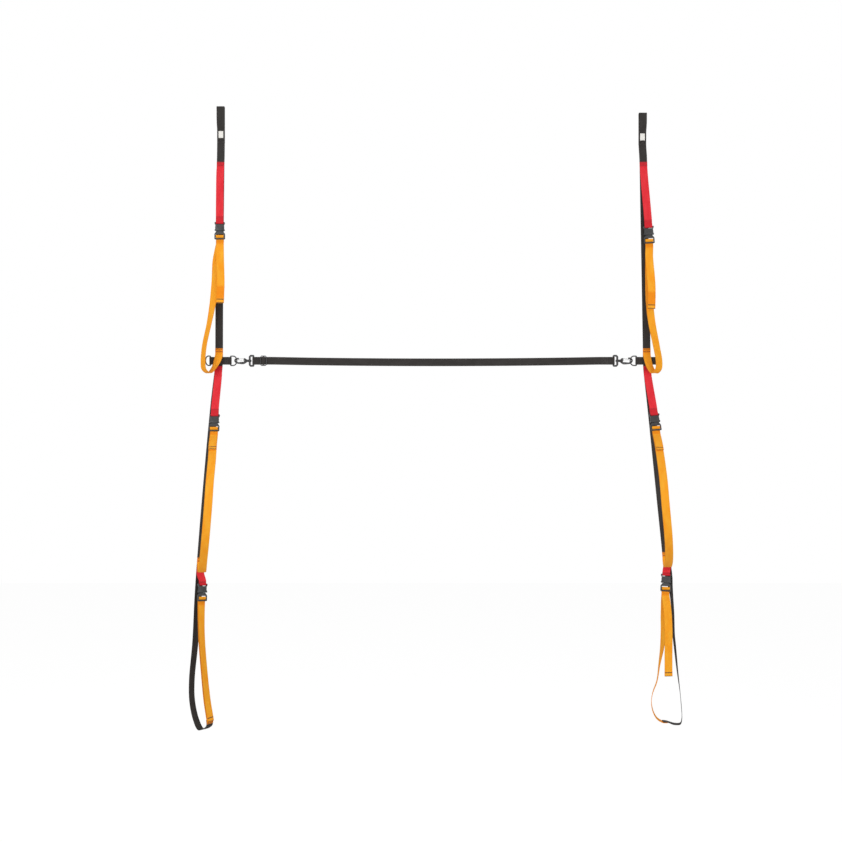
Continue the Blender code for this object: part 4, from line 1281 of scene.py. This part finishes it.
def right_slings(spine: Spine) -> list[Sling]:
    """Lay out the slings of the right column.

    Args:
        spine: its main strap.

    Returns:
        Its three slings, top to bottom.
    """
    upper = Sling(
        "right_upper", spine.seam(-180) + spine.rows((4.2, -2.6, -215, 0)),
        spine.buckle((20.8, -12, -450.6), lean=3.4),
        spine.seam(-795) + spine.rows(
            (15.5, -5.2, -827, 7), (21.5, -13.5, -855, 18), (34, -28, -877.5, 25),
            (44.5, -40, -866, 25), (46.5, -43, -843, 25), (38.5, -38.5, -790, 22),
            (26.5, -26, -715, 14), (21.5, -13.5, -650, 8), (20.5, -8.5, -585, 4),
            (20.7, -6.4, -520, 1)),
        spine.rows((20, -10.8, -485, 0), (21.4, -15, -520, -8), (24.2, -18.8, -556, -12),
                   (26.2, -21.2, -594, -6), (26.2, -22.8, -627, 0), (25, -25, -665, 0)),
        hem=0.058)
    buckle = spine.buckle((34, -60, -1065.7), tilt=17, lean=4.5)
    load = spine.seam(-1466, TWIST_GAP) + spine.rows(
        (76.5, -13, -1491, -15), (74.5, -31, -1505.5, -12), (71, -56, -1509.5, -8),
        (62.5, -120, -1479.4, -4), (44, -200, -1400, 0), (30, -220, -1286.9, 0),
        (28.8, -200, -1225.1, 0), (30.5, -150, -1158.5, 0), (33, -99, -1110, 0))
    middle = Sling(
        "right_middle", spine.seam(-853) + spine.rows((16.8, -4.6, -885, 0)), buckle, load,
        along_load(load, buckle, (0.0125, 0.080), (0.0022, 0.0056)), hem=0.012)
    lower = Sling(
        "right_lower", spine.seam(-1492, TWIST_GAP) + spine.rows(
            (79, -11.1, -1516, -16), (77.3, -15.2, -1521.2, -11),
            (75.5, -19.2, -1525.9, -5)),
        spine.buckle((71.2, -27, -1593.5), tilt=6, lean=-3),
        spine.rows(
            (77.5, -16, -2024.4, -102), (63.5, -16, -2023.2, -102), (45, -16, -2012, -102),
            (32, -16, -1989, -102), (26.5, -16, -1959, -102), (30.5, -16, -1929, -102),
            (44.5, -16, -1890, -99), (52.7, -16.5, -1833.6, -91), (61.6, -17, -1777.5, -74),
            (66.8, -17.5, -1720, -54), (69.6, -18, -1665, -20), (70.4, -18.6, -1625, -3)),
        spine.rows((74.2, -27, -1630, 0), (76.8, -35, -1670, 0), (78, -40, -1730, 0),
                   (77.6, -40, -1800, 0), (78, -38.5, -1847, 0), (78.5, -37.9, -1868, 0)),
        hem=0.014, flap=0.009, neck=0.0)
    return [upper, middle, lower]


def dress_solids(nodes: dict[str, bpy.types.Object]) -> None:
    """Give every rigid solid its finish and smooth, crisp-edged faces.

    Args:
        nodes: the part's solids by name.
    """
    for name, obj in nodes.items():
        if name.endswith(("_male", "_female", "_arm")):
            finish = Finish.PLASTIC
        elif name.endswith(("_eye", "_hook")) or name == "slider":
            finish = Finish.COATED
        else:
            continue
        finish.dress(obj)
        smooth(obj.data)
        set_all(obj.modifiers.new("weld", "WELD"), merge_threshold=0.000002)
        set_all(obj.modifiers.new("crisp_edges", "EDGE_SPLIT"), split_angle=math.radians(32))
        LOG.info("solid %s: %s", name, finish.name)


@dataclass
class BentWire:
    """A round wire, bent along a line.

    Attributes:
        node: the solid it stands for.
        place: where its line goes.
    """

    node: str
    place: Matrix

    def line(self) -> list[Point]:
        """Return the centre line."""
        raise NotImplementedError

    def bend(self, wire: float, finish: Finish, closed: bool) -> None:
        """Make the wire and let it ride on the body of its node.

        Args:
            wire: thickness of the wire.
            finish: the finish it takes.
            closed: whether its ends meet.
        """
        points = self.line()
        curve = bpy.data.curves.new(self.node + "_line", "CURVE")
        set_all(curve, dimensions="3D", bevel_depth=wire / 2, bevel_resolution=6,
                use_fill_caps=not closed)
        line = curve.splines.new("POLY")
        line.points.add(len(points) - 1)
        for point, pos in zip(line.points, points):
            point.co = (*(self.place @ Vector(pos)), 1.0)
        line.use_cyclic_u = closed
        source = add_object(self.node + "_line", curve)
        bpy.context.view_layer.update()
        graph = bpy.context.evaluated_depsgraph_get()
        mesh = bpy.data.meshes.new_from_object(source.evaluated_get(graph))
        bpy.data.objects.remove(source, do_unlink=True)
        smooth(mesh)
        obj = add_object(self.node + "_wire", mesh)
        finish.dress(obj)
        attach(obj, self.node)
        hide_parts(self.node)
        LOG.info("wire %s: %d points", self.node, len(points))


@dataclass
class Ring(BentWire):
    """A bent D-shaped ring.

    Attributes:
        way: 1 when its bow points to +X, -1 when it points to -X.
        inner_height: height of its opening.
        corner: radius of its two tight bends.
    """

    way: int = 1
    inner_height: float = 0.0270
    corner: float = 0.0026

    def line(self) -> list[Point]:
        """Lay the wire once round, with its straight bar on x = 0.

        Returns:
            The points of its centre line.
        """
        half = (self.inner_height + RING_WIRE) / 2
        bow = half * 0.80
        r = self.corner
        corner = [(r - r * math.cos(a), half - r + r * math.sin(a))
                  for a in map(math.radians, (22, 45, 68, 90))]
        points = [(0.0, z) for z in np.linspace(-half + r, half - r, 9)] + corner
        points += [(RING_DEPTH - RING_WIRE - bow + bow * math.cos(a), half * math.sin(a))
                   for a in map(math.radians, np.linspace(90, -90, 37))]
        points += [(x, -z) for x, z in reversed(corner)]
        return [(self.way * x, 0.0, z) for x, z in points]

    def build(self) -> None:
        """Bend the ring from coated wire."""
        self.bend(RING_WIRE, Finish.COATED, True)


@dataclass
class Gate(BentWire):
    """A wire gate on its hook.

    Attributes:
        wire: thickness of the wire.
        pivot_x: place of the pivot from the hook's eye end.
        pivot_z: height of the pivot over the hook's middle line.
        lug: width of the lug that the pivot runs through.
        hook_length: length of the hook.
        hook_height: height of the hook.
        hook_thick: thickness of the hook.
    """

    wire: float = 0.0018
    pivot_x: float = 0.0135
    pivot_z: float = 0.0068
    lug: float = 0.0060
    hook_length: float = 0.0480
    hook_height: float = 0.0265
    hook_thick: float = 0.0050

    def line(self) -> list[Point]:
        """Lay the wire with rounded bends, its pivot at the origin.

        Returns:
            The points of its centre line.
        """
        half = self.lug / 2 + GAP + self.wire / 2
        reach = (self.hook_length - self.hook_thick / 2
                 - (self.hook_height - self.hook_thick) / 2 - self.pivot_x - 0.0016)
        drop = -0.0008
        side = [(0.0, half - 0.0022, 0.0), (0.0, half - 0.0006, 0.0),
                (0.0002, half - 0.0001, 0.0), (0.0008, half, 0.0), (0.0040, half, 0.0),
                (reach - 0.0022, 0.0026, drop), (reach - 0.0010, 0.0021, drop),
                (reach - 0.0002, 0.0013, drop), (reach, 0.0005, drop)]
        return side + [(x, -y, z) for x, y, z in reversed(side)]

    def build(self) -> None:
        """Bend the gate from bright wire at its pivot on the hook."""
        self.place = self.place @ Matrix.Translation((self.pivot_x, 0, self.pivot_z))
        self.bend(self.wire, Finish.WIRE, False)


@dataclass
class Spreader:
    """Strap between the columns with its eyes, hooks and slider.

    Attributes:
        left_edge: outer end of the left eye.
        right_edge: outer end of the right eye.
        depth: y of the swivel axes.
        sag: how far the strap hangs down in its middle.
    """

    left_edge: float
    right_edge: float
    depth: float
    sag: float = 0.005

    def __post_init__(self) -> None:
        """Work out where the eyes' bars and the slider are."""
        self.left_bar = self.left_edge + EYE_WIDTH - EYE_THICK / 2
        self.right_bar = self.right_edge - EYE_WIDTH + EYE_THICK / 2
        self.slider_x = self.left_bar + SLIDER_FROM_EYE

    def routes(self) -> tuple[Route, Route]:
        """Lay the strap through the slider and round both eyes.

        Returns:
            The strap left and right of the slider.
        """
        eye = EYE_THICK / 2 + CLEAR
        bar = SLIDER_THICK / 2 + CLEAR
        under = bar + 2 * LAYER + 0.0001
        base = self.depth - (bar + under) / 2
        near_eye = 0.0095 - SLIDER_FROM_EYE
        back = [(near_eye + 0.0015, bar + LAYER), (-0.0090, bar + LAYER), (-0.0062, 0.0037),
                (-0.0042, 0.0022), *arc((-0.00075, 0), bar, 180, 270, 4),
                *arc((0.00075, 0), bar, 270, 385, 5), (0.0014, 0.0044),
                (-0.0015, under - 0.0002), (-0.0050, under), (-0.0090, under),
                (near_eye, under)]
        over = [(near_eye, bar), (-0.0110, bar + 0.0001), (-0.0082, bar + 0.0001),
                (-0.0066, 0.0016), (-0.0060, 0.0002), (-0.0055, -0.0014), (-0.0044, -0.0032),
                (-0.0020, -bar - LAYER - 0.0001)]
        course = [(self.slider_x + x, base + y) for x, y in back]
        course += arc((self.left_bar, self.depth), eye, 75, 285, 9)
        course += [(self.slider_x + x, base + y) for x, y in over]
        course += [(self.slider_x - x, base + y) for x, y in reversed(over[1:])]
        cut = (len(course) - 2) * SAMPLES
        first, last = self.slider_x + 0.030, self.right_bar - 0.045
        end = self.right_bar - 0.016
        front, rear = self.depth - LAYER / 2, self.depth + LAYER / 2
        course += [(first, base + bar)]
        course += [(x, front) for x in np.linspace(
            self.slider_x + 0.14, self.right_bar - 0.14, 6)]
        course += [(last, front), (end, front)]
        course += arc((self.right_bar, self.depth), eye, -105, 105, 9)
        course += [(end, rear), (self.right_bar - 0.040, rear)]
        knots = []
        for x, y in course:
            t = min(1.0, max(0.0, (x - first) / (last - first)))
            knots.append(upright(x, y, SPREADER_Z - 4 * self.sag * t * (1 - t)))
        whole = Route(knots)
        return whole.part(0, cut), whole.part(cut, len(whole.rows) - 1)

    def build(self) -> None:
        """Make the strap in two pieces that meet behind the slider's end bar."""
        left, right = self.routes()
        bar, near, past, far = ((x, self.depth, SPREADER_Z) for x in (
            self.left_bar + 0.004, self.slider_x - 0.0095, self.slider_x + 0.0115,
            self.right_bar - 0.045))
        for side, route, bend in (("left", left, Bend(ROOT_BODY, "slider", bar, near)),
                                  ("right", right, Bend("slider", ROOT_BODY, past, far))):
            Strap("spreader_webbing_" + side, route, Finish.BLACK_WEB, bend).build(
                "spreader_webbing", "stretched", ["slider", side + "_eye"])
        seam = Stitching("spreader_webbing_seam", right, Finish.BLACK_THREAD)
        middle = right.near((self.right_bar - 0.028, self.depth - LAYER / 2, SPREADER_Z),
                            high=right.length - 0.05)
        seam.box(middle - 0.009, middle + 0.009).build()

    def build_gates(self) -> None:
        """Bend the wire gates of both hooks, which lean by 50 and 42 degrees."""
        for side, edge, half_turns, lean in (("left", self.left_edge, 1, 50),
                                             ("right", self.right_edge, 0, 42)):
            hook = (Matrix.Translation((edge, self.depth, SPREADER_Z))
                    @ Matrix.Rotation(math.radians(lean), 4, "X"))
            flip = Matrix.Rotation(math.pi * half_turns, 4, "Z")
            Gate(side + "_gate", hook @ flip).build()


@dataclass
class Column:
    """One column of the rack with its slings, cross strap and rings.

    Attributes:
        spine: the main strap.
        slings: its three slings.
        strap_centre: middle of the cross strap from the column's x.
        ring_turns: degrees that the left and the right ring are turned about Z.
        depth: y of the rings.
    """

    spine: Spine
    slings: list[Sling]
    strap_centre: float
    ring_turns: tuple[float, float]
    depth: float = 1.5 * LAYER

    @property
    def centre(self) -> float:
        """Middle of the cross strap."""
        return self.spine.x + self.strap_centre

    def build(self) -> None:
        """Make everything that hangs from the column's loop."""
        self.spine.join(self.slings[2].load)
        self.spine.build()
        for sling in self.slings:
            sling.build()
        self.build_cross_strap()
        for side, way, turn in zip(("left", "right"), (-1, 1), self.ring_turns):
            pos = Vector((self.centre + way * CROSS_HALF, self.depth, SPREADER_Z))
            place = Matrix.Translation(pos) @ Matrix.Rotation(math.radians(turn), 4, "Z")
            Ring(f"{self.spine.side}_{side}_ring", place, way).build()

    def build_cross_strap(self) -> None:
        """Make the strap that is folded round both rings and sewn behind."""
        radius = RING_WIRE / 2 + CLEAR
        front, rear = self.depth - LAYER / 2, self.depth + LAYER / 2
        left, right = self.centre - CROSS_HALF, self.centre + CROSS_HALF
        course = [(self.centre - 0.0008, rear), (left + 0.015, rear), (left + 0.011, rear),
                  *arc((left, self.depth), radius, 65, 295, 9), (left + 0.011, front),
                  (left + 0.015, front), (right - 0.015, front), (right - 0.011, front),
                  *arc((right, self.depth), radius, -115, 115, 9), (right - 0.011, rear),
                  (right - 0.015, rear), (self.centre + 0.0008, rear)]
        route = Route([upright(x, y) for x, y in course])
        name = self.spine.side + "_cross_strap"
        Strap(name + "_web", route, Finish.BLACK_WEB).build(
            name, "stretched", [self.spine.side + "_backbone"])
        seams = Stitching(name + "_seam", route, Finish.BLACK_THREAD)
        for x in (left + 0.0090, left + 0.0150, right - 0.0150, right - 0.0090):
            seams.row(route.near((x, front, SPREADER_Z)))
        seams.build()


@dataclass(frozen=True)
class Studio:
    """Camera, light, floor and backdrop of a plain product photograph.

    Attributes:
        camera: place of the camera.
        focal: focal length in millimetres.
        floor_z: height of the floor.
        lamps: name, place, aim, size and power of each lamp.
    """

    camera: Point = (0.6602, -3.86, -1.0348)
    focal: float = 50.0
    floor_z: float = -2.40
    lamps: tuple[tuple[str, Point, Point, float, float], ...] = (
        ("key", (-1.9, -3.6, -0.2), (0.7, 0.0, -1.1), 2.4, 66.0),
        ("fill", (3.3, -3.4, -1.2), (0.7, 0.0, -1.1), 2.6, 42.0),
        ("top", (0.7, -0.8, 1.9), (0.7, 0.0, -1.0), 2.0, 16.0))

    def build(self) -> None:
        """Set up world, camera, floor and lamps."""
        world = bpy.data.worlds.new("studio")
        bpy.context.scene.world = world
        give_shader(world, "OutputWorld", self.sky)
        self.build_camera()
        self.build_floor()
        self.build_lamps()

    @staticmethod
    def seen(add: AddNode) -> bpy.types.Node:
        """Tell the rays of the camera and of mirrors from those of the light.

        Args:
            add: function that adds a node.

        Returns:
            Node with 1 for camera, glossy and transmission rays, else 0.
        """
        rays = add("LightPath").outputs
        first = add("Math", {0: rays["Is Camera Ray"], 1: rays["Is Glossy Ray"]},
                    operation="MAXIMUM")
        return add("Math", {0: first, 1: rays["Is Transmission Ray"]}, operation="MAXIMUM")

    def sky(self, add: AddNode) -> bpy.types.Node:
        """Light evenly from all sides, white where the camera or a mirror looks."""
        fill, white = (add("Background", {"Color": linear("#ffffff"), "Strength": strength})
                       for strength in (0.52, 1.0))
        return add("MixShader", {0: self.seen(add), 1: fill, 2: white})

    def paper(self, add: AddNode) -> bpy.types.Node:
        """Show pale matt paper that catches the soft shadow and is nearly white itself.

        Args:
            add: function that adds a node.

        Returns:
            The shader.
        """
        matt = add("BsdfDiffuse", {"Color": linear("#e6e6e6")})
        glow = add("Emission", {"Color": linear("#ffffff"), "Strength": 1.22})
        share = add("Math", {0: self.seen(add), 1: 0.70}, operation="MULTIPLY")
        return add("MixShader", {0: share, 1: matt, 2: glow})

    def build_camera(self) -> None:
        """Look level along +Y."""
        data = bpy.data.cameras.new("camera")
        set_all(data, lens=self.focal, sensor_width=36.0, clip_end=50.0)
        camera = add_object("camera", data)
        set_all(camera, location=self.camera, rotation_euler=(math.radians(90), 0, 0))
        bpy.context.scene.camera = camera

    def build_floor(self) -> None:
        """Lay the paper floor."""
        bm = bmesh.new()
        bmesh.ops.create_grid(bm, x_segments=1, y_segments=1, size=6.0)
        mesh = bpy.data.meshes.new("floor")
        bm.to_mesh(mesh)
        bm.free()
        floor = add_object("floor", mesh)
        floor.location = (0.7, 0.0, self.floor_z)
        material = bpy.data.materials.new("floor_paper")
        give_shader(material, "OutputMaterial", self.paper)
        mesh.materials.append(material)

    def build_lamps(self) -> None:
        """Place three broad soft lamps."""
        for name, pos, aim, size, power in self.lamps:
            data = bpy.data.lights.new(name, "AREA")
            set_all(data, shape="SQUARE", size=size, energy=power)
            ray = Vector(aim) - Vector(pos)
            set_all(add_object(name, data), location=pos,
                    rotation_euler=ray.to_track_quat("-Z", "Y").to_euler())


@dataclass
class Rack:
    """The whole rack.

    Attributes:
        nodes: the part's solids by name.
    """

    nodes: dict[str, bpy.types.Object]

    def build(self) -> None:
        """Dress the solids and make both columns and the strap between them."""
        dress_solids(self.nodes)
        left = Spine("left", 0.0, 0.0, 0.0, LEFT_BELOW)
        right = Spine("right", COLUMN_SPACING, RIGHT_DROP, RIGHT_LOOP_SHORT, RIGHT_BELOW)
        columns = [Column(left, left_slings(left), -0.0020, (50, 0)),
                   Column(right, right_slings(right), 0.0140, (0, -50))]
        for column in columns:
            column.build()
        reach = CROSS_HALF + RING_DEPTH - RING_WIRE + HOOK_HOLD
        spreader = Spreader(columns[0].centre + reach, columns[1].centre - reach,
                            columns[0].depth)
        spreader.build()
        spreader.build_gates()


def main() -> None:
    """Dress the rack and light it."""
    logging.basicConfig(level=logging.INFO, format="%(name)s: %(message)s")
    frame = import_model()
    Rack(frame["nodes"]).build()
    Studio().build()
    bpy.context.scene.view_settings.view_transform = "Standard"


if __name__ == "__main__":
    main()
